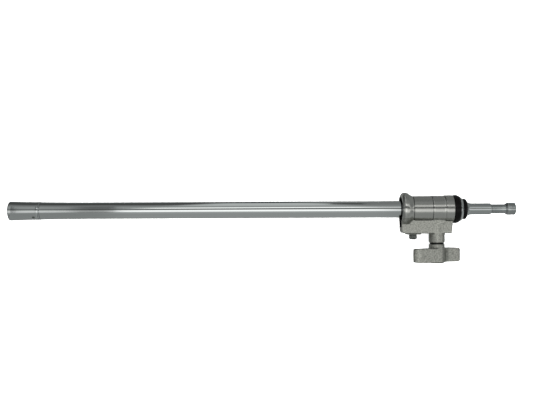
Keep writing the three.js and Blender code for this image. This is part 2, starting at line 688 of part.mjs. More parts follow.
// ---------------------------------------------------------------- assembly
const riser = new THREE.Group();
riser.add(
  piece('riser_tube', riserTube(), CHROME),
  piece('foot_bush', footBush(), CHROME),
  piece('stop_ring', stopRing(), CHROME),
  piece('foot_plug', footPlug(), NYLON),
  piece('spigot_stud', spigotStud(), SATIN_STEEL),
  piece('stud_o_ring', oRing(), RUBBER),
  piece('stud_cross_pin', studPin(0), DARK_STEEL),
  ...footPins(0).map((pin, i) => piece(`foot_pin_${i + 1}`, pin, DARK_STEEL)),
);

const collar = new THREE.Group();
collar.add(
  piece('collar_casting', collarCasting(), CAST_ALUMINIUM),
  piece('guide_sleeve', guideSleeve(), NYLON),
  piece('bumper_ring', bumperRing(), RUBBER),
  piece('spindle_insert', spindleInsert(), BRASS),
  piece('tube_fixing_screw', fixingScrew(), DARK_STEEL),
  piece('fixing_screw_washer', lockWasher(), DARK_STEEL),
);

const clamp = new THREE.Group();
clamp.add(
  piece('clamp_shoe', clampShoe(), CAST_ALUMINIUM),
  piece('shoe_liner', shoeLiner(), FIBRE),
  piece('clamp_spindle', spindle(), SATIN_STEEL),
  piece('spindle_washer', spindleWasher(), RUBBER),
  piece('t_handle', tHandle(), CAST_ALUMINIUM),
  piece('handle_roll_pin', rollPin(0), DARK_STEEL),
);

const group = new THREE.Group();
group.add(riser, collar, clamp, piece('thrust_ring', thrustRing(), CHROME));

// The origin is the middle of the base of the object's box.
const box = new THREE.Box3().setFromObject(group);
const centre = box.getCenter(new THREE.Vector3());
group.position.set(-centre.x, -centre.y, -box.min.z);

export default group;
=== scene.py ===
"""Looks for a lighting stand's top riser: chromed tube, cast clamp collar, T-handle and spigot stud.

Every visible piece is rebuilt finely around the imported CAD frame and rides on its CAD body. Sizes are in
millimetres in the makers' way of measuring the part: stations run along the tube from the collar's top
end, drops are measured from the tube's axis towards the T-handle, and lifts from it upwards.
"""

from __future__ import annotations

import logging
import math
from collections.abc import Callable, Sequence
from dataclasses import dataclass, field
from enum import Enum

import bpy
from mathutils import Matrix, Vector


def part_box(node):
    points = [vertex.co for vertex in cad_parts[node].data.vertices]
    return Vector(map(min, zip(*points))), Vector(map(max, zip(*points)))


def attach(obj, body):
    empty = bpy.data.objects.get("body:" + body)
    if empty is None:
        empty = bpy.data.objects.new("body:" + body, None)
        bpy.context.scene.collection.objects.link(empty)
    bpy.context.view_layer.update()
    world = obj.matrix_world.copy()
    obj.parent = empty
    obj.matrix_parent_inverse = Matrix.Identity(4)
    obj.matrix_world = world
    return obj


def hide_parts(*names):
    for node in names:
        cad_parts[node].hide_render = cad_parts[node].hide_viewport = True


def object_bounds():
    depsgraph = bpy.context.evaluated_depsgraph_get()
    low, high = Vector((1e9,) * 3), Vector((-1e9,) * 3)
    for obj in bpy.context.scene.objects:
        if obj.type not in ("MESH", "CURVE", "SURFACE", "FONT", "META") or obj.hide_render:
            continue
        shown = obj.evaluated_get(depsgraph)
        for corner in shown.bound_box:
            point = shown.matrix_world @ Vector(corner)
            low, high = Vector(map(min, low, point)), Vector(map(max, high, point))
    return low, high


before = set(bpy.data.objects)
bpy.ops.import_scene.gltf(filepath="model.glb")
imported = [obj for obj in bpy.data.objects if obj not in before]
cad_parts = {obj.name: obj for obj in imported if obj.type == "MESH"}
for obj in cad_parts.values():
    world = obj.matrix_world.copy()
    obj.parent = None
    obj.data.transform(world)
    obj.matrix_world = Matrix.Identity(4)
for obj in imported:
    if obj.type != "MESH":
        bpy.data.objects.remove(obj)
CAD_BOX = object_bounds()

MM = 0.001
SIDES = 128
LOG = logging.getLogger("riser")
Outline = Sequence[tuple[float, float]]
Test = Callable[[Vector], bool]
Blank = tuple[bpy.types.Material, bpy.types.NodeTree, bpy.types.Node, bpy.types.NodeSocket]


# ------------------------------------------------------------------------------------------ places
class Turn(Enum):
    """The two directions that turned pieces lie in."""

    ALONG = "along the tube"
    DOWN = "along the clamp spindle"


class Join(Enum):
    """What a boolean does with its second piece."""

    ADD = "UNION"
    CUT = "DIFFERENCE"
    KEEP = "INTERSECT"


class Pick(Enum):
    """What a test of corners selects."""

    EDGES = "EDGE"
    FACES = "FACE"


@dataclass(frozen=True)
class Place:
    """Where the part lies in the row frame, in metres, read from the CAD nodes' boxes."""

    top: float
    axis_y: float
    axis_z: float
    spindle_x: float

    @classmethod
    def from_frame(cls) -> Place:
        """Reads the collar's top end and the two axes.

        Returns:
            The place of this part.
        """
        ring_low, ring_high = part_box("thrust_ring")
        collar_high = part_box("collar_casting")[1]
        spindle_low, spindle_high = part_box("clamp_spindle")
        return cls(
            top=collar_high.x,
            axis_y=(ring_low.y + ring_high.y) / 2,
            axis_z=(ring_low.z + ring_high.z) / 2,
            spindle_x=(spindle_low.x + spindle_high.x) / 2,
        )

    def point(self, station: float, drop: float = 0.0, lift: float = 0.0) -> Vector:
        """Turns maker's millimetres into a point of the row frame.

        Args:
            station: Distance along the tube from the collar's top end.
            drop: Distance from the tube's axis towards the T-handle.
            lift: Distance above the tube's axis.

        Returns:
            The point in metres.
        """
        return Vector((self.top + station * MM, self.axis_y - drop * MM, self.axis_z + lift * MM))

    def measure(self, point: Vector) -> Vector:
        """Reads a point of the row frame back as station, drop and lift in millimetres."""
        return Vector((point.x - self.top, self.axis_y - point.y, point.z - self.axis_z)) / MM

    @property
    def spindle(self) -> float:
        """The spindle's station in millimetres."""
        return (self.spindle_x - self.top) / MM


PLACE = Place.from_frame()


def round_corner(
    centre: tuple[float, float], radius: float, start: float, end: float, steps: int = 6
) -> list[tuple[float, float]]:
    """Makes the points of an arc in an outline.

    Args:
        centre: Station and radius of the arc's centre.
        radius: The arc's radius.
        start: First angle in degrees, 0 towards larger stations and 90 away from the axis.
        end: Last angle in degrees.
        steps: Number of chords.

    Returns:
        The points, both ends included.
    """
    angles = (math.radians(start + (end - start) * i / steps) for i in range(steps + 1))
    return [(centre[0] + radius * math.cos(a), centre[1] + radius * math.sin(a)) for a in angles]


# ----------------------------------------------------------------------------------------- modelling
class Bench:
    """Edit-mode work shared by the sub-assemblies."""

    @staticmethod
    def only(piece: bpy.types.Object) -> None:
        """Selects one object and nothing else.

        Args:
            piece: The object, which also becomes the active one.
        """
        bpy.ops.object.select_all(action="DESELECT")
        piece.select_set(True)
        bpy.context.view_layer.objects.active = piece

    @classmethod
    def claim(cls, name: str) -> bpy.types.Object:
        """Names the primitive just added and puts its place into its mesh.

        Args:
            name: Name for the object and its mesh.

        Returns:
            The object, at the origin, unturned and unscaled.
        """
        piece = bpy.context.active_object
        piece.name = name
        piece.data.name = name
        cls.only(piece)
        bpy.ops.object.transform_apply(location=True, rotation=True, scale=True)
        return piece

    @classmethod
    def turned(
        cls,
        name: str,
        outline: Outline,
        turn: Turn = Turn.ALONG,
        station: float = 0.0,
        hollow: bool = False,
        sides: int = SIDES,
    ) -> bpy.types.Object:
        """Turns an outline into a round, ring by ring, as on a lathe.

        Args:
            name: Name of the new piece.
            outline: Pairs of distance along the round's axis and radius, in millimetres.
            turn: Along the tube, or down the spindle.
            station: Where the axis of a downward round crosses the tube's axis.
            hollow: True if the outline comes back to its start, which leaves a bore.
            sides: Number of sides of the round.

        Returns:
            The finished solid.
        """
        along = turn is Turn.ALONG

        def centre(distance: float) -> Vector:
            """Finds the round's middle at a distance along its axis."""
            return PLACE.point(distance) if along else PLACE.point(station, drop=distance)

        bpy.ops.object.select_all(action="DESELECT")
        first, radius = outline[0]
        bpy.ops.mesh.primitive_circle_add(
            vertices=sides,
            radius=radius * MM,
            fill_type="NOTHING" if hollow else "NGON",
            location=centre(first),
            rotation=(0, math.pi / 2, 0) if along else (math.pi / 2, 0, 0),
        )
        piece = cls.claim(name)
        bpy.context.tool_settings.mesh_select_mode = (True, False, False)
        bpy.ops.object.mode_set(mode="EDIT")
        bpy.ops.mesh.select_all(action="SELECT")
        last = first
        rings = list(outline[1:]) + ([outline[0]] if hollow else [])
        for distance, ring_radius in rings:
            step = centre(distance) - centre(last)
            bpy.ops.mesh.extrude_region_move(TRANSFORM_OT_translate={"value": step})
            scale = ring_radius / radius
            bpy.ops.transform.resize(
                value=(1, scale, scale) if along else (scale, 1, scale),
                center_override=centre(distance),
            )
            last, radius = distance, ring_radius
        cls.close()
        return piece

    @staticmethod
    def close(gap: float = 0.002) -> None:
        """Merges doubles and turns the faces outwards, then leaves edit mode.

        Args:
            gap: Corners nearer than this many millimetres become one.
        """
        bpy.ops.mesh.select_all(action="SELECT")
        bpy.ops.mesh.remove_doubles(threshold=gap * MM)
        bpy.ops.mesh.normals_make_consistent(inside=False)
        bpy.ops.object.mode_set(mode="OBJECT")

    @classmethod
    def block(cls, name: str, low: Sequence[float], high: Sequence[float]) -> bpy.types.Object:
        """Makes a box between two corners, each a station, drop and lift.

        Args:
            name: Name of the new piece.
            low: The corner with the smaller station, drop and lift.
            high: The opposite corner.

        Returns:
            The box.
        """
        middle = PLACE.point(*[(a + b) / 2 for a, b in zip(low, high)])
        size = [(b - a) * MM for a, b in zip(low, high)]
        bpy.ops.object.select_all(action="DESELECT")
        bpy.ops.mesh.primitive_cube_add(size=1, location=middle, scale=size)
        return cls.claim(name)

    @staticmethod
    def pick(piece: bpy.types.Object, test: Test, what: Pick = Pick.EDGES) -> None:
        """Selects the edges or faces whose every corner passes a test, and enters edit mode.

        Args:
            piece: The object, in object mode.
            test: Takes a corner as station, drop and lift and says if it counts.
            what: Edges or faces.
        """
        mesh = piece.data
        good = [test(PLACE.measure(v.co)) for v in mesh.vertices]
        for vertex in mesh.vertices:
            vertex.select = False
        for kind, parts in ((Pick.EDGES, mesh.edges), (Pick.FACES, mesh.polygons)):
            for part in parts:
                part.select = what is kind and all(good[i] for i in part.vertices)
        Bench.only(piece)
        bpy.context.tool_settings.mesh_select_mode = (False, what is Pick.EDGES, what is Pick.FACES)
        bpy.ops.object.mode_set(mode="EDIT")

    @classmethod
    def round_edges(
        cls,
        piece: bpy.types.Object,
        radius: float,
        test: Test,
        segments: int = 5,
        upright: bool = False,
    ) -> None:
        """Rounds the edges whose corners pass a test.

        Args:
            piece: The object to round.
            radius: Width of the rounding in millimetres.
            test: Takes a corner as station, drop and lift and says if it counts.
            segments: Number of strips in the rounding.
            upright: True to round only the edges that stand upright.
        """
        cls.pick(piece, test)
        if upright:
            bpy.ops.object.mode_set(mode="OBJECT")
            corners = piece.data.vertices
            for edge in piece.data.edges:
                a, b = (corners[i].co for i in edge.vertices)
                edge.select = edge.select and abs(a.z - b.z) > MM
            bpy.ops.object.mode_set(mode="EDIT")
        bpy.ops.mesh.bevel(offset=radius * MM, offset_type="OFFSET", segments=segments, affect="EDGES")
        bpy.ops.object.mode_set(mode="OBJECT")

    @classmethod
    def combine(cls, piece: bpy.types.Object, other: bpy.types.Object, how: Join) -> bpy.types.Object:
        """Joins, cuts or intersects two solids and removes the second.

        Args:
            piece: The solid that stays.
            other: The solid that is used up.
            how: What to do.

        Returns:
            The first object.
        """
        cls.only(piece)
        modifier = piece.modifiers.new(how.name.lower(), "BOOLEAN")
        modifier.operation = how.value
        modifier.object = other
        modifier.solver = "MANIFOLD"
        bpy.ops.object.modifier_apply(modifier=modifier.name)
        bpy.data.objects.remove(other, do_unlink=True)
        return piece

    @classmethod
    def cast(cls, piece: bpy.types.Object, grain: float, rounds: int) -> None:
        """Gives a joined blank one soft cast skin with a fillet in every corner.

        Args:
            piece: The blank.
            grain: Size of the skin's facets in millimetres.
            rounds: How often the skin is smoothed, which sets the fillets.
        """
        cls.only(piece)
        skin = piece.modifiers.new("skin", "REMESH")
        skin.mode = "VOXEL"
        skin.voxel_size = grain * MM
        bpy.ops.object.modifier_apply(modifier=skin.name)
        soften = piece.modifiers.new("soften", "SMOOTH")
        soften.factor = 0.5
        soften.iterations = rounds
        bpy.ops.object.modifier_apply(modifier=soften.name)

    @classmethod
    def finish(
        cls,
        piece: bpy.types.Object,
        body: str,
        slot: str,
        material: bpy.types.Material,
        nodes: Sequence[str],
        angle: float = 32.0,
    ) -> None:
        """Shades a piece, dresses it, and puts it on its body in place of its CAD nodes.

        Args:
            piece: The finished mesh.
            body: The CAD body it rides on.
            slot: The record's material slot; not used.
            material: Its finish.
            nodes: The CAD nodes that it stands for.
            angle: Edges sharper than this many degrees stay sharp.
        """
        cls.only(piece)
        bpy.ops.object.shade_smooth_by_angle(angle=math.radians(angle))
        piece.data.materials.clear()
        piece.data.materials.append(material)
        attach(piece, body)
        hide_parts(*nodes)
        LOG.info("%s: %d faces on %s", piece.name, len(piece.data.polygons), body)


# ------------------------------------------------------------------------------------------ finishes
NOISE = {"Detail": 4.0, "Roughness": 0.6}  # how much fine detail a noise carries
MIDDLE = {"From Min": 0.3, "From Max": 0.7}  # the range that most of a noise lies in


def paint(code: str) -> tuple[float, float, float, float]:
    """Turns an sRGB hex code into a linear colour.

    Args:
        code: Six hex digits.

    Returns:
        Red, green, blue and 1.
    """
    parts = (int(code[i : i + 2], 16) / 255 for i in (0, 2, 4))
    linear = (c / 12.92 if c <= 0.04045 else ((c + 0.055) / 1.055) ** 2.4 for c in parts)
    return (*linear, 1.0)


def add_node(
    tree: bpy.types.NodeTree, kind: str, settings: dict | None = None, links: dict | None = None
) -> bpy.types.Node:
    """Adds one shader node.

    Args:
        tree: The material's or world's node tree.
        kind: The node's type name, without ShaderNode in front.
        settings: Attribute or input names with their values, and "stops" for a colour ramp.
        links: Input names with the output sockets that feed them.

    Returns:
        The node.
    """
    node = tree.nodes.new(f"ShaderNode{kind}")
    for key, value in (settings or {}).items():
        if key == "stops":
            stops = node.color_ramp.elements
            while len(stops) < len(value):
                stops.new(0.5)
            for stop, (position, colour) in zip(stops, value):
                stop.position = position
                stop.color = colour
        elif isinstance(key, str) and hasattr(node, key):
            setattr(node, key, value)
        else:
            node.inputs[key].default_value = value
    for key, socket in (links or {}).items():
        tree.links.new(socket, node.inputs[key])
    return node


@dataclass(frozen=True)
class Finish:
    """What all finishes share: a name and an empty material with a principled shader."""

    name: str

    def start(self) -> Blank:
        """Makes an empty material.

        Returns:
            The material, its tree, its principled shader and the object coordinates.
        """
        material = bpy.data.materials.new(self.name)
        material.use_nodes = True
        tree = material.node_tree
        tree.nodes.clear()
        shader = add_node(tree, "BsdfPrincipled")
        add_node(tree, "OutputMaterial", links={"Surface": shader.outputs["BSDF"]})
        place = add_node(tree, "TexCoord").outputs["Object"]
        return material, tree, shader, place


@dataclass(frozen=True)
class ChromePlate(Finish):
    """Bright chromium over drawn steel tube.

    The plate is a near mirror, and drawing leaves faint lines along it. The eye sees long, sharp
    reflections that are a little softer in some places than in others.
    """

    colour: str = "cdd1d2"
    streak: float = 0.9  # coarser than the real drawn lines, which wouldn't show
    haze: float = 9.0
    streak_rough: tuple[float, float] = (0.03, 0.06)
    haze_rough: tuple[float, float] = (0.0, 0.03)
    line_depth: float = 0.02

    def build(self) -> bpy.types.Material:
        """Builds the material.

        Returns:
            Chrome with drawn streaks and a broad haze in its roughness.
        """
        material, tree, shader, place = self.start()
        shader.inputs["Base Color"].default_value = paint(self.colour)
        shader.inputs["Metallic"].default_value = 1.0
        parts = []
        layers = ((self.streak, 0.02, self.streak_rough), (self.haze, 0.3, self.haze_rough))
        for size, stretch, (low, high) in layers:
            drawn = add_node(tree, "Mapping", {"Scale": (stretch, 1, 1)}, {"Vector": place})
            noise = add_node(
                tree, "TexNoise", {**NOISE, "Scale": 1 / (size * MM)}, {"Vector": drawn.outputs["Vector"]}
            ).outputs["Fac"]
            spread = {**MIDDLE, "To Min": low, "To Max": high}
            part = add_node(tree, "MapRange", spread, {"Value": noise})
            parts.append((noise, part.outputs["Result"]))
        (drawn_lines, streaks), (_, hazes) = parts
        rough = add_node(tree, "Math", {"operation": "ADD"}, {0: streaks, 1: hazes})
        tree.links.new(rough.outputs[0], shader.inputs["Roughness"])
        depth = {"Strength": 0.05, "Distance": self.line_depth * MM}
        lines = add_node(tree, "Bump", depth, {"Height": drawn_lines})
        tree.links.new(lines.outputs["Normal"], shader.inputs["Normal"])
        return material


@dataclass(frozen=True)
class CastAluminium(Finish):
    """Die-cast aluminium, tumbled.

    The eye sees a soft grey shine broken up by grain and small pits. The barrel's skin is turned and
    buffed bright down to the rail. Inside the bores and the shoe slot a dark painted shade stands for the
    shade there.
    """

    light: str = "c3c4be"
    dark: str = "868882"
    bright: str = "c0c1be"
    # painted shade: dark grey for the shade that falls in the bores, the shoe slot and the deeper panel
    # line
    bore: str = "2a2b2a"
    grain: float = 1.8  # two to three times the real grain, which wouldn't show
    cloud: float = 8.0
    cloud_share: float = 0.35
    tumbled: tuple[float, float] = (0.3, 0.42)
    polished: tuple[float, float] = (0.11, 0.19)
    pits: tuple[float, float] = (0.45, 0.07)  # as cast, and where buffed
    pit_depth: float = 0.14
    buffed_to: float = 11.4
    # painted shade covers every cast face nearer the tube's axis than this
    painted_shade_radius: float = 17.0
    # the shoe slot, where the same painted shade goes
    slot_station: float = -38.5
    slot_drop: float = 12.0
    slot_half: tuple[float, float, float] = (31.0, 11.9, 7.2)

    def build(self) -> bpy.types.Material:
        """Builds the material.

        Returns:
            Mottled cast metal with its buffed and its dark places.
        """
        material, tree, shader, place = self.start()
        shader.inputs["Metallic"].default_value = 1.0
        fine, broad = (
            add_node(
                tree, "TexNoise", {**NOISE, "Scale": 1 / (size * MM), "Detail": detail}, {"Vector": place}
            ).outputs["Fac"]
            for size, detail in ((self.grain, 5.0), (self.cloud, 3.0))
        )
        speckle = add_node(tree, "MapRange", {**MIDDLE, "To Min": 0.0, "To Max": 0.65}, {"Value": fine})
        both = add_node(
            tree,
            "Math",
            {"operation": "MULTIPLY_ADD", 1: self.cloud_share},
            {0: broad, 2: speckle.outputs["Result"]},
        )
        tones = ((0.2, paint(self.dark)), (0.8, paint(self.light)))
        tone = add_node(tree, "ValToRGB", {"stops": tones}, {"Fac": both.outputs[0]})
        buffed, inside = self.zones(tree, place)
        colour = tone.outputs["Color"]
        # the second mix paints the shade inside the bores and the shoe slot
        for zone, paint_code in ((buffed, self.bright), (inside, self.bore)):
            mixed = add_node(
                tree, "Mix", {"data_type": "RGBA", 7: paint(paint_code)}, {0: zone, 6: colour}
            )
            colour = mixed.outputs[2]
        tree.links.new(colour, shader.inputs["Base Color"])
        tumbled, polished = (
            add_node(tree, "MapRange", {**MIDDLE, "To Min": low, "To Max": high}, {"Value": noise})
            for noise, (low, high) in ((broad, self.tumbled), (fine, self.polished))
        )
        rough = add_node(
            tree, "Mix", {}, {0: buffed, 2: tumbled.outputs["Result"], 3: polished.outputs["Result"]}
        )
        tree.links.new(rough.outputs[0], shader.inputs["Roughness"])
        depth = add_node(tree, "Mix", {2: self.pits[0], 3: self.pits[1]}, {0: buffed})
        pits = add_node(
            tree,
            "Bump",
            {"Distance": self.pit_depth * MM},
            {"Height": fine, "Strength": depth.outputs[0]},
        )
        tree.links.new(pits.outputs["Normal"], shader.inputs["Normal"])
        return material

    def zones(
        self, tree: bpy.types.NodeTree, place: bpy.types.NodeSocket
    ) -> tuple[bpy.types.NodeSocket, bpy.types.NodeSocket]:
        """Finds where the casting is buffed, and where shade is painted: inside a bore or the shoe slot.

        Args:
            tree: The material's tree.
            place: The object coordinates.

        Returns:
            Two values from 0 to 1: buffed, and painted shade inside.
        """
        parts = add_node(tree, "SeparateXYZ", links={"Vector": place})
        edge, soft = PLACE.axis_y - self.buffed_to * MM, 0.6 * MM
        buffed = add_node(
            tree,
            "MapRange",
            {"From Min": edge - soft, "From Max": edge + soft},
            {"Value": parts.outputs["Y"]},
        )
        across = add_node(tree, "VectorMath", {"operation": "MULTIPLY", 1: (0, 1, 1)}, {0: place})
        away = add_node(
            tree,
            "VectorMath",
            {"operation": "DISTANCE", 1: (0, PLACE.axis_y, PLACE.axis_z)},
            {0: across.outputs["Vector"]},
        )
        # painted shade: full inside the radius, fading out over 0.3 mm
        edge, soft = self.painted_shade_radius * MM, 0.3 * MM
        bore = add_node(
            tree,
            "MapRange",
            {"From Min": edge + soft, "From Max": edge - soft},
            {"Value": away.outputs["Value"]},
        )
        slot_middle = PLACE.point(self.slot_station, drop=self.slot_drop)
        slot, *others = (
            add_node(
                tree, "Math", {"operation": "COMPARE", 1: middle, 2: half * MM}, {0: parts.outputs[axis]}
            ).outputs[0]
            for axis, middle, half in zip("XYZ", slot_middle, self.slot_half)
        )
        for near in others:
            slot = add_node(tree, "Math", {"operation": "MULTIPLY"}, {0: slot, 1: near}).outputs[0]
        # the painted shade mask: inside a bore or the shoe slot
        inside = add_node(tree, "Math", {"operation": "MAXIMUM"}, {0: bore.outputs["Result"], 1: slot})
        return buffed.outputs["Result"], inside.outputs[0]


@dataclass(frozen=True)
class TurnedSteel(Finish):
    """Turned and nickel-plated steel.

    The eye sees sharp reflections on the polished body, and softer ones with fine tool rings from
    the neck to the end.
    """

    colour: str = "c3c8c9"
    satin: str = "aeb3b4"
    rings: float = 1.1  # a few times the real feed of the tool, which wouldn't show
    satin_from: float = 50.3
    body_rough: tuple[float, float] = (0.09, 0.12)
    satin_rough: tuple[float, float] = (0.17, 0.21)

    def build(self) -> bpy.types.Material:
        """Builds the material.

        Returns:
            Polished steel that turns satin towards the end.
        """
        material, tree, shader, place = self.start()
        shader.inputs["Metallic"].default_value = 1.0
        along = add_node(tree, "SeparateXYZ", links={"Vector": place})
        edge, soft = PLACE.top + self.satin_from * MM, 0.2 * MM
        end = add_node(
            tree,
            "MapRange",
            {"From Min": edge - soft, "From Max": edge + soft},
            {"Value": along.outputs["X"]},
        ).outputs["Result"]
        tones = {"data_type": "RGBA", 6: paint(self.colour), 7: paint(self.satin)}
        tone = add_node(tree, "Mix", tones, {0: end})
        tree.links.new(tone.outputs[2], shader.inputs["Base Color"])
        lathe = add_node(tree, "Mapping", {"Scale": (1, 0.01, 0.01)}, {"Vector": place})
        ringed = add_node(
            tree,
            "TexNoise",
            {**NOISE, "Scale": 1 / (self.rings * MM), "Detail": 2.0},
            {"Vector": lathe.outputs["Vector"]},
        ).outputs["Fac"]
        body, tip = (
            add_node(tree, "MapRange", {**MIDDLE, "To Min": low, "To Max": high}, {"Value": ringed})
            for low, high in (self.body_rough, self.satin_rough)
        )
        rough = add_node(tree, "Mix", {}, {0: end, 2: body.outputs["Result"], 3: tip.outputs["Result"]})
        tree.links.new(rough.outputs[0], shader.inputs["Roughness"])
        return material


@dataclass(frozen=True)
class DullPlate(Finish):
    """Zinc-plated or plain turned metal that has dulled with use.

    The eye sees light and dark blotches and little shine. The friction fibre is made the same way
    without metal.
    """

    light: str = "8e918e"
    dark: str = "6a6d6b"
    metallic: float = 1.0
    rough: tuple[float, float] = (0.38, 0.55)
    blotch: float = 1.6

    def build(self) -> bpy.types.Material:
        """Builds the material.

        Returns:
            A blotchy dull surface.
        """
        material, tree, shader, place = self.start()
        shader.inputs["Metallic"].default_value = self.metallic
        blotches = add_node(
            tree, "TexNoise", {**NOISE, "Scale": 1 / (self.blotch * MM)}, {"Vector": place}
        ).outputs["Fac"]
        tones = ((0.35, paint(self.dark)), (0.65, paint(self.light)))
        tone = add_node(tree, "ValToRGB", {"stops": tones}, {"Fac": blotches})
        tree.links.new(tone.outputs["Color"], shader.inputs["Base Color"])
        low, high = self.rough
        rough = add_node(tree, "MapRange", {**MIDDLE, "To Min": low, "To Max": high}, {"Value": blotches})
        tree.links.new(rough.outputs["Result"], shader.inputs["Roughness"])
        return material


@dataclass(frozen=True)
class MouldedBlack(Finish):
    """Moulded black rubber or nylon.

    The eye sees near black with a slight sheen, and the fine skin that the mould leaves.
    """

    colour: str = "030303"
    rough: tuple[float, float] = (0.24, 0.31)
    shine: float = 0.14
    skin: float = 0.6  # coarser than a mould's real skin, so that it shows
    skin_depth: float = 0.04

    def build(self) -> bpy.types.Material:
        """Builds the material.

        Returns:
            Near black with a fine skin.
        """
        material, tree, shader, place = self.start()
        shader.inputs["Base Color"].default_value = paint(self.colour)
        shader.inputs["Specular IOR Level"].default_value = self.shine
        skin = add_node(
            tree, "TexNoise", {**NOISE, "Scale": 1 / (self.skin * MM)}, {"Vector": place}
        ).outputs["Fac"]
        low, high = self.rough
        rough = add_node(tree, "MapRange", {**MIDDLE, "To Min": low, "To Max": high}, {"Value": skin})
        tree.links.new(rough.outputs["Result"], shader.inputs["Roughness"])
        depth = {"Strength": 0.2, "Distance": self.skin_depth * MM}
        bumps = add_node(tree, "Bump", depth, {"Height": skin})
        tree.links.new(bumps.outputs["Normal"], shader.inputs["Normal"])
        return material


@dataclass
class Finishes:
    """All finishes of the part, built once."""

    chrome: bpy.types.Material = field(init=False)
    cast: bpy.types.Material = field(init=False)
    steel: bpy.types.Material = field(init=False)
    dull: bpy.types.Material = field(init=False)
    rubber: bpy.types.Material = field(init=False)
    nylon: bpy.types.Material = field(init=False)
    brass: bpy.types.Material = field(init=False)
    fibre: bpy.types.Material = field(init=False)

    def __post_init__(self) -> None:
        """Builds every material."""
        # Plated tube: a near mirror with long, sharp reflections.
        self.chrome = ChromePlate("chromium_plate").build()
        # Tumbled casting: a soft, speckled grey shine, brighter where it is buffed, with painted shade in
        # its bores and shoe slot.
        self.cast = CastAluminium("tumbled_cast_aluminium").build()
        # Turned and plated steel: sharp on the body, satin on the end.
        self.steel = TurnedSteel("turned_nickel_plated_steel").build()
        # Barrel-plated zinc that has dulled: blotchy dark grey with little shine.
        self.dull = DullPlate("dull_zinc_plated_steel").build()
        # Moulded rubber: near black, with a slight sheen along its rounded edges.
        self.rubber = MouldedBlack("moulded_black_rubber").build()
        # Moulded nylon: greyer than the rubber, with a wider and duller sheen.
        self.nylon = MouldedBlack("moulded_black_nylon", colour="17181a", rough=(0.35, 0.45)).build()
        # Bare turned brass: warm metal with softer reflections than plated steel.
        self.brass = DullPlate("turned_brass", "c9a25a", "a9833e", rough=(0.22, 0.34)).build()
        # Pressed friction fibre in brown resin: matt and flecked, with no metal in it.
        self.fibre = DullPlate("brown_friction_fibre", "6d4a34", "4b3021", 0.0, (0.75, 0.9)).build()


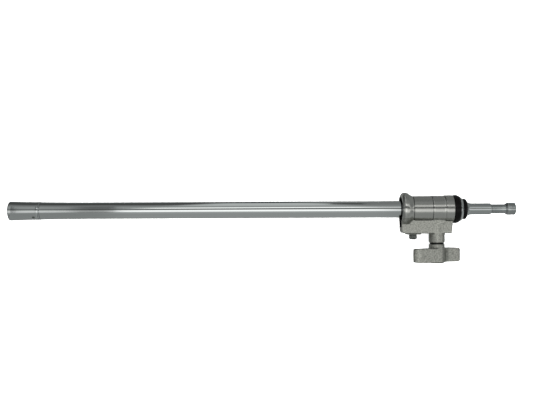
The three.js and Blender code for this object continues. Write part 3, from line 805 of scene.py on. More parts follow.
# ------------------------------------------------------------------------------------ sub-assemblies
@dataclass
class Riser:
    """Tube, foot and stud: everything that slides and turns in the collar."""

    finishes: Finishes
    tube: float = 11.1
    wall: float = 1.6
    foot_end: float = -588.8
    foot_length: float = 39.6
    foot_rise: float = 1.9
    joint_rise: float = 0.88
    ring_gap: float = 0.4
    ring_length: float = 1.5
    ring_rise: float = 0.95
    swell_rise: float = 0.62
    swell_length: float = 68.0
    tube_top: float = 12.1
    stud: float = 7.55
    neck: float = 6.1
    head: float = 8.15
    cord: float = 2.35
    cord_rise: float = 0.35
    plug_depth: float = 2.8
    plug_length: float = 15.0
    pin_hole: float = 1.55
    pin_sink: float = 2.3
    pin_sink_depth: float = 4.0
    pin_sink_middle: float = 12.2
    stud_depth: float = 34.0
    cone_length: float = 6.9
    body_length: float = 32.75
    neck_length: float = 18.4
    flare_length: float = 3.7
    head_length: float = 10.4
    undercut: float = 0.45
    thrust_start: float = 8.15
    thrust_end: float = 11.75
    thrust_rise: float = 5.6
    thrust_top_rise: float = 3.7

    def build(self) -> None:
        """Builds and dresses every piece of the riser."""
        self.build_tube()
        self.build_foot()
        self.build_stud()
        self.build_thrust_ring()

    def build_tube(self) -> None:
        """Builds the drawn tube, swaged from the stop ring down to its size."""
        start = self.foot_end + self.plug_depth
        swell = self.foot_end + self.foot_length + 2 * self.ring_gap + self.ring_length
        bore = self.tube - self.wall
        steps = 16
        swage = [
            (
                swell + 0.4 + self.swell_length * i / steps,
                self.tube + self.swell_rise * (1 - i / steps) ** 2.2,
            )
            for i in range(steps + 1)
        ]
        outline = [
            (start, bore),
            (start, self.tube),
            (swell, self.tube),
            (swell, self.tube + self.swell_rise - 0.4),
            *swage,
            (self.tube_top - 0.4, self.tube),
            (self.tube_top, self.tube - 0.4),
            (self.tube_top, bore),
        ]
        tube = Bench.turned("tube", outline, hollow=True)
        Bench.finish(tube, "riser", "chrome_plate", self.finishes.chrome, ["riser_tube"])

    def build_foot(self) -> None:
        """Builds the foot bush, the stop ring and the plug."""
        joint = self.foot_end + self.foot_length
        bore = self.tube + 0.1
        rise = self.foot_rise - self.joint_rise
        steps = 12
        flare = [
            (
                self.foot_end + 2.4 + (self.foot_length - 2.8) * i / steps,
                self.tube + self.joint_rise + rise * (1 - i / steps) ** 1.9,
            )
            for i in range(steps + 1)
        ]
        bush = Bench.turned(
            "bush",
            [
                (self.foot_end + 0.5, bore),
                (self.foot_end, bore + 0.5),
                *round_corner((self.foot_end + 1.6, self.tube + self.foot_rise - 1.65), 1.6, 175, 95, 7),
                *flare,
                (joint - 0.05, self.tube + self.joint_rise - 0.05),
                (joint, self.tube + self.joint_rise - 0.12),
                (joint, bore),
            ],
            hollow=True,
        )
        for name in ("foot_pin_1", "foot_pin_2"):
            Bench.combine(bush, self.pin_tool(name), Join.CUT)
        Bench.finish(bush, "riser", "chrome_plate", self.finishes.chrome, ["foot_bush"])
        start = joint + self.ring_gap
        end = start + self.ring_length
        outer = self.tube + self.ring_rise
        ring = Bench.turned(
            "stop_collar",
            [
                (start, self.tube + 0.1),
                *round_corner((start + 0.5, outer - 0.5), 0.5, 180, 90, 4),
                *round_corner((end - 0.5, outer - 0.5), 0.5, 90, 0, 4),
                (end, self.tube + 0.1),
            ],
            hollow=True,
        )
        Bench.finish(ring, "riser", "chrome_plate", self.finishes.chrome, ["stop_ring"])
        face, inside = self.foot_end + 0.9, self.tube - self.wall - 0.1
        plug = Bench.turned(
            "end_plug",
            [
                (face + 1.0, 4.0),
                (face + 1.0, 5.4),
                (face + 0.6, 6.0),
                (face, 6.6),
                (face, self.tube - 0.9),
                (face + 0.5, self.tube - 0.2),
                (face + 1.8, self.tube - 0.1),
                (face + 1.8, inside),
                (face + self.plug_length - 1, inside),
                (face + self.plug_length, inside - 1),
            ],
        )
        Bench.finish(plug, "riser", "nylon", self.finishes.nylon, ["foot_plug"])

    def pin_tool(self, name: str) -> bpy.types.Object:
        """Makes the countersink that a foot pin sits in.

        Args:
            name: The pin's CAD node.

        Returns:
            The tool, a cone that opens outwards around the pin.
        """
        low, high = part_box(name)
        middle = (low + high) / 2
        away = Vector((0, middle.y - PLACE.axis_y, middle.z - PLACE.axis_z)).normalized()
        bpy.ops.object.select_all(action="DESELECT")
        bpy.ops.mesh.primitive_cone_add(
            vertices=40,
            radius1=self.pin_hole * MM,
            radius2=self.pin_sink * MM,
            depth=self.pin_sink_depth * MM,
            location=Vector((middle.x, PLACE.axis_y, PLACE.axis_z)) + away * self.pin_sink_middle * MM,
            rotation=away.to_track_quat("Z", "Y").to_euler(),
        )
        return Bench.claim("pin_tool")

    def build_stud(self) -> None:
        """Builds the spigot stud and the O-ring in its groove."""
        plug = self.tube - self.wall - 0.1
        shoulder = self.tube_top + 0.1
        groove = shoulder + 0.35
        lip = groove + 2 * (self.cord + 0.1)
        floor = self.tube + self.cord_rise - self.cord - 0.1
        neck = lip + self.body_length
        flare = neck + self.neck_length
        head = flare + self.flare_length
        tip = head + self.head_length
        lip_radius = self.tube - 0.5
        steps = 10
        cone = [
            (
                lip + 0.3 + self.cone_length * i / steps,
                self.stud + (lip_radius - self.stud) * (1 - i / steps) ** 2.3,
            )
            for i in range(steps + 1)
        ]
        rise = [
            (
                flare + (head - flare) * i / 6,
                self.neck + (self.head - self.neck) * (0.5 - 0.5 * math.cos(math.pi * i / 6)),
            )
            for i in range(7)
        ]
        outline = [
            (self.tube_top - self.stud_depth, plug - 1),
            (self.tube_top - self.stud_depth + 1, plug),
            (shoulder, plug),
            (shoulder, self.tube),
            (groove, self.tube),
            (groove, floor),
            (lip, floor),
            (lip, lip_radius - 0.3),
            *cone,
            *round_corner((neck - 0.9, self.stud - 0.9), 0.9, 90, 0, 5),
            (neck, self.neck - self.undercut),
            (neck + 0.9, self.neck - self.undercut),
            (neck + 1.1, self.neck),
            *rise,
            *round_corner((tip - 1.3, self.head - 1.3), 1.3, 90, 0, 6),
        ]
        stud = Bench.turned("spigot", outline)
        Bench.finish(stud, "riser", "satin_steel", self.finishes.steel, ["spigot_stud"])
        middle = (groove + lip) / 2
        section = round_corner((middle, self.tube + self.cord_rise), self.cord, 180, -180, 28)[:-1]
        ring = Bench.turned("stud_seal", section, hollow=True)
        Bench.finish(ring, "riser", "rubber", self.finishes.rubber, ["stud_o_ring"])

    def build_thrust_ring(self) -> None:
        """Builds the loose chromed ring below the stud's shoulder."""
        start, end, bore = self.thrust_start, self.thrust_end, self.tube + 0.35
        wide, narrow = self.tube + self.thrust_rise, self.tube + self.thrust_top_rise
        ring = Bench.turned(
            "loose_ring",
            [
                (start, bore + 0.3),
                (start, wide - 0.5),
                *round_corner((start + 0.5, wide - 0.5), 0.5, 150, 40, 4),
                *round_corner((end - 0.6, narrow - 0.6), 0.6, 40, 0, 4),
                (end, bore + 0.3),
                (end - 0.3, bore),
                (start + 0.3, bore),
            ],
            hollow=True,
        )
        Bench.finish(ring, "carriage", "chrome_plate", self.finishes.chrome, ["thrust_ring"])


@dataclass
class Collar:
    """The cast clamp collar and what is fixed in it."""

    finishes: Finishes
    length: float = 69.2
    barrel: float = 17.7
    rim: float = 22.15
    rim_round: float = 4.0
    rim_length: float = 8.3
    rim_slope: float = 6.9
    band: float = 18.5
    band_length: float = 11.0
    socket: float = 16.15
    socket_floor: float = -29.8
    guide: float = 13.3
    guide_inset: float = 3.1
    counterbore: float = 14.95
    rail_half: float = 10.2
    rail_top: float = 14.4
    rail_draft: float = 1.6
    rail_setback: float = 1.5
    rail_drop: float = 32.0
    rail_corner: float = 4.4
    pocket_drop: float = 23.7
    pocket_half: float = 7.0
    pad: float = 1.6
    pad_half: float = 9.5
    saddle_drops: tuple[float, float] = (6.0, 19.0)
    mouth_saddle: tuple[float, float] = (10.5, 1.3)
    boss_saddle_rise: float = 0.5
    screw_station: float = -52.9
    boss: float = 10.6
    boss_drop: float = 44.3
    step_station: float = -28.0
    bumper_length: float = 7.8
    bumper_bore: float = 11.8
    sleeve_bore: float = 11.75
    sleeve_outer: float = 13.2
    flange: float = 16.05
    insert: float = 7.9
    screw_flats: float = 10.0
    screw_height: float = 5.4
    screw_length: float = 10.7
    screw_hole: float = 3.1
    washer_radii: tuple[float, float] = (3.2, 5.0)
    boss_cutter: float = 13.0
    voxel: float = 0.55  # about half of the smallest fillet
    smoothing: int = 5
    mark_width: float = 0.9

    def build(self) -> None:
        """Builds and dresses every piece of the collar."""
        self.build_casting()
        self.build_sleeve()
        self.build_bumper()
        self.build_insert()
        self.build_screw()

    def blank_barrel(self) -> bpy.types.Object:
        """Turns the barrel with its rim, step line and end band.

        Returns:
            The solid barrel.
        """
        mouth, corner = -self.length, self.rim_round
        crown = mouth + self.rim_length
        foot = crown + self.rim_slope
        return Bench.turned(
            "casting",
            [
                (mouth, self.rim - corner),
                *round_corner((mouth + corner, self.rim - corner), corner, 170, 90, 8),
                (crown - 1.1, self.rim),
                (crown + 0.5, self.rim - 0.4),
                (crown + 1.6, self.rim - 1.2),
                (foot - 1.0, self.barrel + 0.25),
                (foot, self.barrel - 0.15),
                (self.step_station - 0.4, self.barrel - 0.15),
                (self.step_station + 0.4, self.barrel + 0.05),
                (-self.band_length - 1.4, self.barrel + 0.05),
                (-self.band_length - 0.2, self.band),
                (-0.9, self.band),
                (0.0, self.band - 0.9),
            ],
        )

    def blank_rail(self) -> bpy.types.Object:
        """Builds the rail: a low bar, raised to the barrel at the mouth and around the boss.

        Returns:
            The joined rail.
        """
        mouth, half, drop = -self.length, self.rail_half, self.rail_drop
        rail = Bench.block("rail", (mouth, self.rail_top, -half), (-self.rail_setback, drop, half))
        Bench.pick(rail, lambda p: p.x > -self.rail_setback - 1 and p.y > drop - 1)
        bpy.ops.transform.translate(value=(-self.rail_draft * MM, 0, 0))
        bpy.ops.object.mode_set(mode="OBJECT")
        Bench.round_edges(rail, self.rail_corner, lambda p: p.x < mouth + 1 and p.y > drop - 1, 10)
        long, high = self.mouth_saddle
        top, bottom = self.saddle_drops
        saddles = (
            (mouth, mouth + long, high),
            (self.step_station + 2.0, -self.band_length - 2.0, self.boss_saddle_rise),
        )
        for start, end, rise in saddles:
            saddle = Bench.block("saddle", (start, top, -half - rise), (end, bottom, half + rise))
            Bench.combine(rail, saddle, Join.ADD)
        pad = Bench.block(
            "pad",
            (self.screw_station - self.pad_half, drop - 2, -half + 1.5),
            (self.screw_station + self.pad_half, drop + self.pad, half - 1.5),
        )
        Bench.round_edges(pad, 0.9, lambda p: p.y > drop, 3)
        Bench.combine(rail, pad, Join.ADD)
        return rail

    def build_casting(self) -> None:
        """Joins the blank, gives it its cast skin and then machines it."""
        casting = self.blank_barrel()
        Bench.combine(casting, self.blank_rail(), Join.ADD)
        boss = Bench.turned(
            "boss",
            [(11.0, self.boss), (self.rail_drop, self.boss), (self.boss_drop + 0.3, self.boss - 0.1)],
            Turn.DOWN,
            PLACE.spindle,
        )
        Bench.combine(casting, boss, Join.ADD)
        Bench.cast(casting, self.voxel, self.smoothing)
        for tool in self.cutters():
            Bench.combine(casting, tool, Join.CUT)
        Bench.finish(casting, "collar", "cast_aluminium", self.finishes.cast, ["collar_casting"])

    def cutters(self) -> list[bpy.types.Object]:
        """Makes the tools that machine the casting.

        Returns:
            Socket, guide bore, counterbore, shoe pocket, two holes and two facing cuts.
        """
        mouth = -self.length
        socket = Bench.turned(
            "socket_tool",
            [
                (mouth - 1, self.socket + 2.15),
                (mouth + 1.15, self.socket),
                (self.socket_floor, self.socket),
            ],
        )
        guide = Bench.turned("guide_tool", [(self.socket_floor - 1, self.guide), (2, self.guide)])
        counterbore = Bench.turned(
            "counterbore_tool", [(-self.guide_inset, self.counterbore), (2, self.counterbore)]
        )
        pocket = Bench.block(
            "pocket_tool", (mouth - 1, 0, -self.pocket_half), (-8, self.pocket_drop, self.pocket_half)
        )
        Bench.round_edges(pocket, 1.5, lambda p: p.y > self.pocket_drop - 1 and abs(p.z) > 1, 5)
        bore = self.insert + 0.1
        hole = Bench.turned(
            "insert_tool",
            [(self.pocket_drop - 1, bore), (self.boss_drop + 2, bore)],
            Turn.DOWN,
            PLACE.spindle,
        )
        screw = Bench.turned(
            "screw_tool",
            [(self.pocket_drop - 1, self.screw_hole), (self.rail_drop + 4, self.screw_hole)],
            Turn.DOWN,
            self.screw_station,
            sides=48,
        )
        face, past, cutter = self.boss_drop, self.boss_drop + 2, self.boss_cutter
        boss_face = Bench.turned(
            "boss_face_tool",
            [
                (face - 0.6, cutter),
                (past, cutter),
                (past, self.boss - 0.5),
                (face, self.boss - 0.9),
                (face - 0.6, self.boss - 0.3),
            ],
            Turn.DOWN,
            PLACE.spindle,
            hollow=True,
        )
        boss_end = Bench.turned(
            "boss_end_tool", [(face, cutter), (past, cutter)], Turn.DOWN, PLACE.spindle
        )
        band_ends = (-self.band_length - 0.7, 3.0)
        band_mark = self.panel_mark(band_ends, 15.9, self.barrel - 0.3, 0.9)
        panel_ends = (mouth + self.rim_length + self.rim_slope + 0.1, self.step_station)
        # its floor sits deep enough to get the casting's painted shade, so this line shows dark as well as
        # cut
        panel_mark = self.panel_mark(panel_ends, 14.9, self.barrel - 0.95, 2.6)
        marks = [panel_mark, band_mark]
        return [socket, guide, counterbore, pocket, hole, screw, boss_face, boss_end, *marks]

    def panel_mark(
        self, stations: tuple[float, float], drop: float, floor: float, corner: float
    ) -> bpy.types.Object:
        """Makes the tool for the thin line that outlines a panel of the barrel.

        Args:
            stations: Where the panel starts and ends.
            drop: Where its lower edge runs, along the rail.
            floor: Radius of the line's bottom.
            corner: Radius of the panel's lower corners.

        Returns:
            The tool: a rounded frame, kept to a shell around the barrel.
        """
        width = self.mark_width
        start, end = stations
        frame_tool = Bench.block("mark_tool", (start, -30, -25), (end, drop, 25))
        inner = Bench.block("mark_inner_tool", (start + width, -31, -26), (end - width, drop - width, 26))
        for tool, radius in ((frame_tool, corner), (inner, max(corner - width, 0.5))):
            Bench.round_edges(tool, radius, lambda p: p.y > 5, 6, upright=True)
        Bench.combine(frame_tool, inner, Join.CUT)
        outside = self.barrel + 3.3
        shell = Bench.turned(
            "shell_tool",
            [(start - 2, floor), (start - 2, outside), (end + 2, outside), (end + 2, floor)],
            hollow=True,
        )
        return Bench.combine(frame_tool, shell, Join.KEEP)

    def build_sleeve(self) -> None:
        """Builds the nylon guide sleeve with its flange and window."""
        start = self.socket_floor - 1.3
        sleeve = Bench.turned(
            "sleeve",
            [
                (start, self.sleeve_bore),
                (start, self.flange - 0.35),
                (start + 0.3, self.flange),
                (start + 1.2, self.flange),
                (start + 1.2, self.sleeve_outer),
                (-3.2, self.sleeve_outer),
                (-3.2, self.sleeve_bore - 0.3),
                (start + 0.3, self.sleeve_bore - 0.3),
            ],
            hollow=True,
        )
        half = self.pocket_half + 0.35
        window = Bench.block("window_tool", (start - 1, 5.5, -half), (-8, 18, half))
        Bench.combine(sleeve, window, Join.CUT)
        Bench.finish(sleeve, "collar", "nylon", self.finishes.nylon, ["guide_sleeve"])

    def build_bumper(self) -> None:
        """Builds the rubber bumper ring with its spigot in the counterbore."""
        bore, outer, length = self.bumper_bore, self.band + 0.3, self.bumper_length
        steps = 14
        back = [
            (
                0.31 * length + 0.69 * length * math.sin(math.pi / 2 * i / steps),
                outer - 2.2 * (1 - math.cos(math.pi / 2 * i / steps)),
            )
            for i in range(1, steps + 1)
        ]
        ring = Bench.turned(
            "bumper",
            [
                (-3.0, bore),
                (-3.0, 14.85),
                (0.1, 14.85),
                (0.1, outer - 1.2),
                *round_corner((1.2, outer - 1.1), 1.1, 180, 90, 6),
                (0.31 * length, outer),
                *back,
                (length, bore + 0.6),
                (length - 0.4, bore),
            ],
            hollow=True,
        )
        Bench.finish(ring, "collar", "rubber", self.finishes.rubber, ["bumper_ring"])

    def build_insert(self) -> None:
        """Builds the brass insert with the ridges of its thread."""
        start, end, pitch = self.pocket_drop + 0.5, self.boss_drop - 0.5, 1.5
        count = int((end - start - 1) / pitch)
        ridges = [
            point
            for i in range(count)
            for point in ((end - 0.8 - i * pitch, 5.35), (end - 0.8 - (i + 0.5) * pitch, 5.9))
        ]
        insert = Bench.turned(
            "insert",
            [(start, self.insert), (end, self.insert), (end, 6.1), *ridges, (start, 6.0)],
            Turn.DOWN,
            PLACE.spindle,
            hollow=True,
            sides=64,
        )
        Bench.finish(insert, "collar", "brass", self.finishes.brass, ["spindle_insert"])

    def build_screw(self) -> None:
        """Builds the domed hexagon screw and its spring washer."""
        top = self.rail_drop + self.pad + 0.1
        seat = top + 1.1
        height, tip = self.screw_height, 3.3
        corner = self.screw_flats / math.sqrt(3)
        hexagon = Bench.turned(
            "fixing_screw",
            [(seat, corner), (seat + height, corner)],
            Turn.DOWN,
            self.screw_station,
            sides=6,
        )
        dome = Bench.turned(
            "dome_tool",
            [
                (seat - 1, corner + 1),
                (seat, corner - 0.3),
                (seat + 0.4, corner),
                (seat + 0.5 * height, corner),
                *round_corner((seat + 0.45 * height, tip - 0.4), 0.5 * height, 55, 12, 6),
                (seat + height, tip - 0.5),
            ],
            Turn.DOWN,
            self.screw_station,
        )
        Bench.combine(hexagon, dome, Join.KEEP)
        ridges = [(seat - 1.2 - 0.5 * i, 3.0 if i % 2 else 2.6) for i in range(18)]
        shank = Bench.turned(
            "shank",
            [(seat - self.screw_length, 2.3), *reversed(ridges), (seat + 1, 2.6)],
            Turn.DOWN,
            self.screw_station,
            sides=48,
        )
        Bench.combine(hexagon, shank, Join.ADD)
        Bench.finish(hexagon, "collar", "dark_steel", self.finishes.dull, ["tube_fixing_screw"])
        bore, outer = self.washer_radii
        washer = Bench.turned(
            "spring_washer",
            [
                (top, bore),
                (top, outer - 0.2),
                (top + 0.2, outer),
                (top + 0.8, outer),
                (top + 1.0, outer - 0.2),
                (top + 1.0, bore),
            ],
            Turn.DOWN,
            self.screw_station,
            hollow=True,
            sides=64,
        )
        split = Bench.block(
            "split_tool", (self.screw_station, top - 1, -0.35), (self.screw_station + 7, top + 2, 0.35)
        )
        Bench.combine(washer, split, Join.CUT)
        Bench.finish(washer, "collar", "dark_steel", self.finishes.dull, ["fixing_screw_washer"])


@dataclass
class Clamp:
    """Shoe, liner, spindle and T-handle."""

    finishes: Finishes
    boss_drop: float = 44.3
    neck_drop: float = 46.1
    wing_drop: float = 51.8
    wing_height: float = 18.8
    hub_crown: float = 1.3
    hub: float = 10.4
    turned_by: float = 20.0
    spindle: float = 5.0
    spindle_nose: float = 3.0
    spindle_end: float = 66.5
    shoe_half: tuple[float, float] = (11.5, 6.65)
    shoe_drops: tuple[float, float] = (11.45, 19.7)
    liner: float = 12.95
    voxel: float = 0.5
    smoothing: int = 9
    wing_root: tuple[float, float, float, float] = (-6.0, 10.3, -3.0, 1.0)
    # Each wing from the hub outwards: distance from the spindle, front, back, share of full height.
    wing_sections: tuple[tuple[float, float, float, float], ...] = (
        (-9.0, 10.2, -6.0, 1.0),
        (-12.5, 10.1, -2.4, 1.0),
        (-18.0, 9.9, -0.9, 1.0),
        (-24.0, 9.4, -1.3, 1.0),
        (-29.0, 8.5, -2.4, 1.0),
        (-32.5, 7.2, -2.5, 0.99),
        (-35.0, 5.4, -1.4, 0.93),
        (-36.3, 3.4, 0.2, 0.79),
    )

    def build(self) -> None:
        """Builds and dresses every piece of the clamp."""
        self.build_handle()
        self.build_spindle()
        self.build_washer()
        self.build_shoe()

    def wing(self, side: int) -> bpy.types.Object:
        """Draws one wing out of the hub, step by step, along the handle.

        Args:
            side: -1 for the wing towards the foot, 1 for the other, turned half round.

        Returns:
            The wing before it is joined.
        """
        low, high = self.wing_drop, self.wing_drop + self.wing_height
        station, front, back, height = self.wing_root
        edge = PLACE.spindle - side * station
        lifts = sorted((-side * front, -side * back))
        stations = sorted((edge, PLACE.spindle))
        wing = Bench.block("wing", (stations[0], low, lifts[0]), (stations[1], high, lifts[1]))
        Bench.pick(wing, lambda p: abs(p.x - edge) < 0.1, Pick.FACES)
        middle, width = (front + back) / 2, front - back
        for next_station, front, back, next_height in self.wing_sections:
            next_middle, next_width = (front + back) / 2, front - back
            step = Vector((-side * (next_station - station), 0, -side * (next_middle - middle))) * MM
            bpy.ops.mesh.extrude_region_move(TRANSFORM_OT_translate={"value": step})
            centre = PLACE.point(
                PLACE.spindle - side * next_station, (low + high) / 2, -side * next_middle
            )
            bpy.ops.transform.resize(
                value=(1, next_height / height, next_width / width), center_override=centre
            )
            station, middle, width, height = next_station, next_middle, next_width, next_height
        Bench.close()
        return wing

    def build_handle(self) -> None:
        """Builds the cast T-handle: a hub with a neck and two wings set to opposite sides."""
        hub_end = self.wing_drop + self.wing_height + self.hub_crown
        handle = Bench.turned(
            "tee_handle",
            [
                (self.neck_drop, self.hub - 0.5),
                (self.neck_drop + 0.6, self.hub - 0.1),
                (self.wing_drop, self.hub),
                (hub_end - 1.6, self.hub),
                (hub_end, self.hub - 2.2),
            ],
            Turn.DOWN,
            PLACE.spindle,
        )
        for side in (-1, 1):
            Bench.combine(handle, self.wing(side), Join.ADD)
        Bench.cast(handle, self.voxel, self.smoothing)
        bore = Bench.turned(
            "bore_tool",
            [(self.neck_drop - 2, 5.1), (hub_end - 5.2, 5.1)],
            Turn.DOWN,
            PLACE.spindle,
            sides=64,
        )
        face = Bench.turned(
            "face_tool",
            [(self.neck_drop - 2, 13.0), (self.neck_drop + 0.05, 13.0)],
            Turn.DOWN,
            PLACE.spindle,
        )
        Bench.combine(handle, bore, Join.CUT)
        Bench.combine(handle, face, Join.CUT)
        self.turn(handle)
        Bench.finish(handle, "handle", "cast_aluminium", self.finishes.cast, ["t_handle"])

    def turn(self, piece: bpy.types.Object) -> None:
        """Turns a piece about the spindle to the handle's angle at rest.

        Args:
            piece: The piece, drawn straight along the tube.
        """
        Bench.only(piece)
        bpy.ops.object.mode_set(mode="EDIT")
        bpy.ops.mesh.select_all(action="SELECT")
        bpy.ops.transform.rotate(
            value=-math.radians(self.turned_by),
            orient_axis="Y",
            center_override=PLACE.point(PLACE.spindle),
        )
        bpy.ops.object.mode_set(mode="OBJECT")

    def build_spindle(self) -> None:
        """Builds the spindle with its nose and the ridges of its thread."""
        shoe, end, pitch, radius = self.shoe_drops[1], self.spindle_end, 1.5, self.spindle
        first = shoe + 1.3
        count = int((self.neck_drop + 1 - shoe - 2) / pitch)
        ridges = [
            point
            for i in range(count)
            for point in ((first + i * pitch, radius - 0.75), (first + (i + 0.5) * pitch, radius))
        ]
        spindle = Bench.turned(
            "screw_spindle",
            [
                (shoe - 2.85, 2.4),
                (shoe - 2.35, self.spindle_nose),
                (shoe + 0.35, self.spindle_nose),
                (shoe + 0.35, radius - 0.9),
                *ridges,
                (self.neck_drop + 1.5, radius),
                (end, radius),
            ],
            Turn.DOWN,
            PLACE.spindle,
            sides=64,
        )
        Bench.finish(spindle, "handle", "satin_steel", self.finishes.steel, ["clamp_spindle"])

    def build_washer(self) -> None:
        """Builds the black washer between the boss and the handle's neck."""
        start, end, outer, bore = self.boss_drop + 0.35, self.neck_drop - 0.1, 9.3, 5.1
        washer = Bench.turned(
            "neck_washer",
            [
                (start, bore),
                *round_corner((start + 0.4, outer - 0.4), 0.4, 180, 90, 4),
                *round_corner((end - 0.4, outer - 0.4), 0.4, 90, 0, 4),
                (end, bore),
            ],
            Turn.DOWN,
            PLACE.spindle,
            hollow=True,
        )
        Bench.finish(washer, "handle", "rubber", self.finishes.rubber, ["spindle_washer"])

    def build_shoe(self) -> None:
        """Builds the clamp shoe and its friction liner."""
        long, half = self.shoe_half
        top, bottom = self.shoe_drops
        start, end, nose = PLACE.spindle - long, PLACE.spindle + long, self.spindle_nose + 0.35
        shoe = Bench.block("shoe", (start, top, -half), (end, bottom, half))
        Bench.round_edges(shoe, 0.8, lambda p: p.y > bottom - 0.7, 4)
        hollow = Bench.turned("hollow_tool", [(start - 1, self.liner + 0.1), (end + 1, self.liner + 0.1)])
        socket = Bench.turned(
            "nose_tool", [(bottom - 3.2, nose), (bottom + 1.3, nose)], Turn.DOWN, PLACE.spindle, sides=48
        )
        Bench.combine(shoe, hollow, Join.CUT)
        Bench.combine(shoe, socket, Join.CUT)
        Bench.finish(shoe, "shoe", "cast_aluminium", self.finishes.cast, ["clamp_shoe"])
        liner = Bench.turned(
            "liner", [(start, top), (start, self.liner), (end, self.liner), (end, top)], hollow=True
        )
        keep = Bench.block("keep_tool", (start - 1, 4, -half), (end + 1, 14, half))
        Bench.combine(liner, keep, Join.KEEP)
        Bench.finish(liner, "shoe", "fibre", self.finishes.fibre, ["shoe_liner"])


@dataclass
class SmallPins:
    """The pins, which keep their CAD shapes and get a finish."""

    finishes: Finishes
    names: tuple[str, ...] = ("stud_cross_pin", "foot_pin_1", "foot_pin_2", "handle_roll_pin")

    def build(self) -> None:
        """Dresses the pins."""
        for name in self.names:
            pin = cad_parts[name]
            pin.data.materials.clear()
            pin.data.materials.append(self.finishes.dull)
            LOG.info("%s: dressed", name)


# ---------------------------------------------------------------------------------------- the studio
Bands = tuple[tuple[float, float], ...]
Patches = tuple[tuple[float, float, float], ...]
Fade = tuple[float, tuple[float, float]]


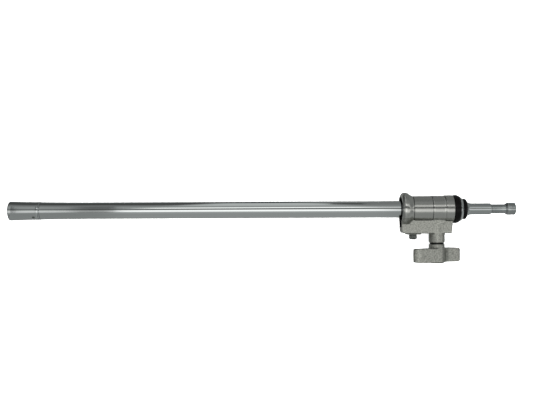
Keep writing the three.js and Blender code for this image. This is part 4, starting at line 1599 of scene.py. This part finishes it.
@dataclass
class Studio:
    """Floor, soft light and the camera above the part.

    Bright metal shows what stands around it, so the surroundings are light strips along the tube,
    each set given as degrees from straight up with a brightness. Arms are dark things that hang in
    front of the strips.
    """

    distance: float = 997.5
    lens: float = 49.1
    sensor: float = 36.0
    aside: float = 16.95
    above: float = 5.1
    roll: float = 0.26
    floor_size: float = 8.0
    floor_glow: float = 0.35
    lamp_size: float = 4.0
    lamp_height: float = 2.6
    lamp_energy: float = 330.0
    # Each set, from the front wall over the top to the floor behind: start, end and brightness.
    over_middle: Patches = (
        (-180, -45, 0.40),  # front wall
        (-35, -25, 0.50),  # glow beside the main strip
        (-15, -2, 1.60),  # main strip
        (11, 21, 0.10),  # gap
        (27, 32, 1.70),  # second strip
        (40, 55, 0.40),
        (65, 105, 0.65),  # back wall
        (112, 140, 0.10),  # table's edge
        (155, 180, 0.40),  # floor
    )
    over_foot: Patches = (
        (-180, -30, 0.32),
        (-15, 0, 0.90),
        (10, 20, 0.24),
        (30, 45, 0.40),
        (90, 115, 0.08),
        (140, 180, 0.32),
    )
    over_stud: Patches = (
        (-180, -30, 0.35),
        (-18, -4, 0.90),
        (8, 18, 0.20),
        (25, 30, 0.90),
        (40, 60, 0.32),
        (75, 180, 0.25),
    )
    reach: Bands = (
        (-1.0, 0.8), (-0.6, 0.8), (-0.3, 1.0), (0.6, 1.0), (0.8, 1.15), (0.92, 1.1), (1.0, 0.8),
    )
    # Slant, and where the fade to the next set starts and ends along the tube.
    to_foot: Fade = (-0.072, (-0.185, -0.235))
    to_stud: Fade = (0.055, (0.125, 0.185))
    # Place and half width along the tube, turn and half width about it, and the share of light lost.
    arms: tuple[tuple[float, float, float, float, float], ...] = (
        (-0.229, 0.021, 0.28, 0.75, 0.55),
        (0.096, 0.022, 1.48, 0.2, 0.75),
        (-0.322, 0.014, -1.0, 0.14, 0.6),
    )

    def build(self) -> None:
        """Builds the stage, the lights and the camera."""
        self.build_floor()
        self.build_world()
        self.build_lights()
        self.build_camera()
        bpy.context.scene.view_settings.view_transform = "Standard"

    def build_floor(self) -> None:
        """Lays a plain pale floor under the part, which bright metal doesn't mirror."""
        bpy.ops.object.select_all(action="DESELECT")
        bpy.ops.mesh.primitive_plane_add(size=self.floor_size, location=(0, 0, 0))
        floor = Bench.claim("floor")
        # Matt painted board, lit through: even and pale, with no shine.
        material = bpy.data.materials.new("plain_pale_floor")
        material.use_nodes = True
        shader = material.node_tree.nodes["Principled BSDF"]
        shader.inputs["Base Color"].default_value = paint("f6f6f6")
        shader.inputs["Roughness"].default_value = 0.9
        shader.inputs["Emission Color"].default_value = paint("ffffff")
        shader.inputs["Emission Strength"].default_value = self.floor_glow
        floor.data.materials.append(material)
        floor.visible_glossy = False

    def build_world(self) -> None:
        """Paints the surroundings: strips in the reflections, and plain white behind the floor."""
        world = bpy.data.worlds.new("surroundings")
        bpy.context.scene.world = world
        world.use_nodes = True
        tree = world.node_tree
        tree.nodes.clear()
        direction = add_node(tree, "TexCoord").outputs["Generated"]
        parts = add_node(tree, "SeparateXYZ", links={"Vector": direction})
        side = parts.outputs["X"]
        angle = add_node(
            tree, "Math", {"operation": "ARCTAN2"}, {0: parts.outputs["Y"], 1: parts.outputs["Z"]}
        ).outputs[0]
        turned = add_node(
            tree, "MapRange", {"From Min": -math.pi, "From Max": math.pi}, {"Value": angle}
        ).outputs["Result"]
        lean = add_node(tree, "Math", {"operation": "MAXIMUM", 1: 0.0}, {0: angle}).outputs[0]
        middle, foot, stud = (
            add_node(tree, "ValToRGB", {"stops": self.strips(patches)}, {"Fac": turned}).outputs["Color"]
            for patches in (self.over_middle, self.over_foot, self.over_stud)
        )
        colour = middle
        for other, (slant, ends) in ((foot, self.to_foot), (stud, self.to_stud)):
            fade = self.fade(tree, side, lean, slant, ends)
            mixed = add_node(tree, "Mix", {"data_type": "RGBA"}, {0: fade, 6: colour, 7: other})
            colour = mixed.outputs[2]
        strength = self.fall_off(tree, side, angle)
        around = add_node(tree, "Background", {}, {"Color": colour, "Strength": strength})
        plain = add_node(tree, "Background", {"Color": paint("ffffff"), "Strength": 1.0})
        seen = add_node(tree, "LightPath").outputs["Is Camera Ray"]
        both = add_node(
            tree,
            "MixShader",
            {},
            {0: seen, 1: around.outputs["Background"], 2: plain.outputs["Background"]},
        )
        add_node(tree, "OutputWorld", links={"Surface": both.outputs["Shader"]})

    @staticmethod
    def strips(patches: Patches) -> list[tuple[float, tuple[float, float, float, float]]]:
        """Turns a set of patches into a ramp's stops; dim patches are cooler than bright ones.

        Args:
            patches: Start and end in degrees from straight up, and brightness.

        Returns:
            Positions from 0 to 1 with linear colours, two for each patch.
        """
        return [
            ((edge + 180) / 360, (v if v > 0.8 else v * 0.97, v, v * 0.975, 1.0))
            for start, end, v in patches
            for edge in (start, end)
        ]

    @staticmethod
    def fade(
        tree: bpy.types.NodeTree,
        side: bpy.types.NodeSocket,
        lean: bpy.types.NodeSocket,
        slant: float,
        ends: tuple[float, float],
    ) -> bpy.types.NodeSocket:
        """Fades from one set of strips to the next along the tube, on a slant.

        Args:
            tree: The world's tree.
            side: How far a direction points along the tube.
            lean: How far it leans to the back.
            slant: How far the fade moves with the lean.
            ends: Where it starts and ends.

        Returns:
            The fade, from 0 to 1.
        """
        slanted = add_node(tree, "Math", {"operation": "MULTIPLY_ADD", 1: slant}, {0: lean, 2: side})
        soft = add_node(
            tree,
            "MapRange",
            {"interpolation_type": "SMOOTHSTEP", "From Min": ends[0], "From Max": ends[1]},
            {"Value": slanted.outputs[0]},
        )
        return soft.outputs["Result"]

    def fall_off(
        self, tree: bpy.types.NodeTree, side: bpy.types.NodeSocket, angle: bpy.types.NodeSocket
    ) -> bpy.types.NodeSocket:
        """Dims the strips towards both ends, and where an arm hangs in front of them.

        Args:
            tree: The world's tree.
            side: How far a direction points along the tube.
            angle: The angle about the tube, in radians.

        Returns:
            The strength.
        """
        along = add_node(tree, "MapRange", {"From Min": -1.0, "From Max": 1.0}, {"Value": side})
        stops = [((s + 1) / 2, (v, v, v, 1.0)) for s, v in self.reach]
        strength = add_node(
            tree, "ValToRGB", {"stops": stops}, {"Fac": along.outputs["Result"]}
        ).outputs["Color"]
        for where, half_width, turn, half_turn, loss in self.arms:
            arm, band = (
                add_node(tree, "Math", {"operation": "COMPARE", 1: middle, 2: half}, {0: value})
                for value, middle, half in ((side, where, half_width), (angle, turn, half_turn))
            )
            hidden = add_node(
                tree, "Math", {"operation": "MULTIPLY"}, {0: arm.outputs[0], 1: band.outputs[0]}
            )
            kept = add_node(
                tree, "Math", {"operation": "MULTIPLY_ADD", 1: -loss, 2: 1.0}, {0: hidden.outputs[0]}
            )
            strength = add_node(
                tree, "Math", {"operation": "MULTIPLY"}, {0: strength, 1: kept.outputs[0]}
            ).outputs[0]
        return strength

    def build_lights(self) -> None:
        """Hangs one large soft light that only matt surfaces see."""
        lamp = bpy.data.lights.new("overhead_soft_light", "AREA")
        lamp.shape = "SQUARE"
        lamp.size = self.lamp_size
        lamp.energy = self.lamp_energy
        overhead = bpy.data.objects.new("overhead_soft_light", lamp)
        overhead.location = (0.0, 0.0, self.lamp_height)
        overhead.visible_glossy = False
        bpy.context.scene.collection.objects.link(overhead)

    def build_camera(self) -> None:
        """Hangs the camera straight above, a little to one side of the part's middle."""
        middle = (CAD_BOX[0] + CAD_BOX[1]) / 2
        data = bpy.data.cameras.new("camera")
        data.lens = self.lens
        data.sensor_width = self.sensor
        data.clip_end = 20.0
        camera = bpy.data.objects.new("camera", data)
        camera.location = (
            middle.x + self.aside * MM,
            PLACE.axis_y + self.above * MM,
            PLACE.axis_z + self.distance * MM,
        )
        camera.rotation_euler = (0, 0, -math.radians(self.roll))
        bpy.context.scene.collection.objects.link(camera)
        bpy.context.scene.camera = camera


def main() -> None:
    """Builds the studio and every sub-assembly in order."""
    logging.basicConfig(level=logging.INFO, format="%(name)s: %(message)s")
    Studio().build()
    finishes = Finishes()
    for assembly in (Riser(finishes), Collar(finishes), Clamp(finishes), SmallPins(finishes)):
        LOG.info("building %s", type(assembly).__name__)
        assembly.build()


if __name__ == "__main__":
    main()
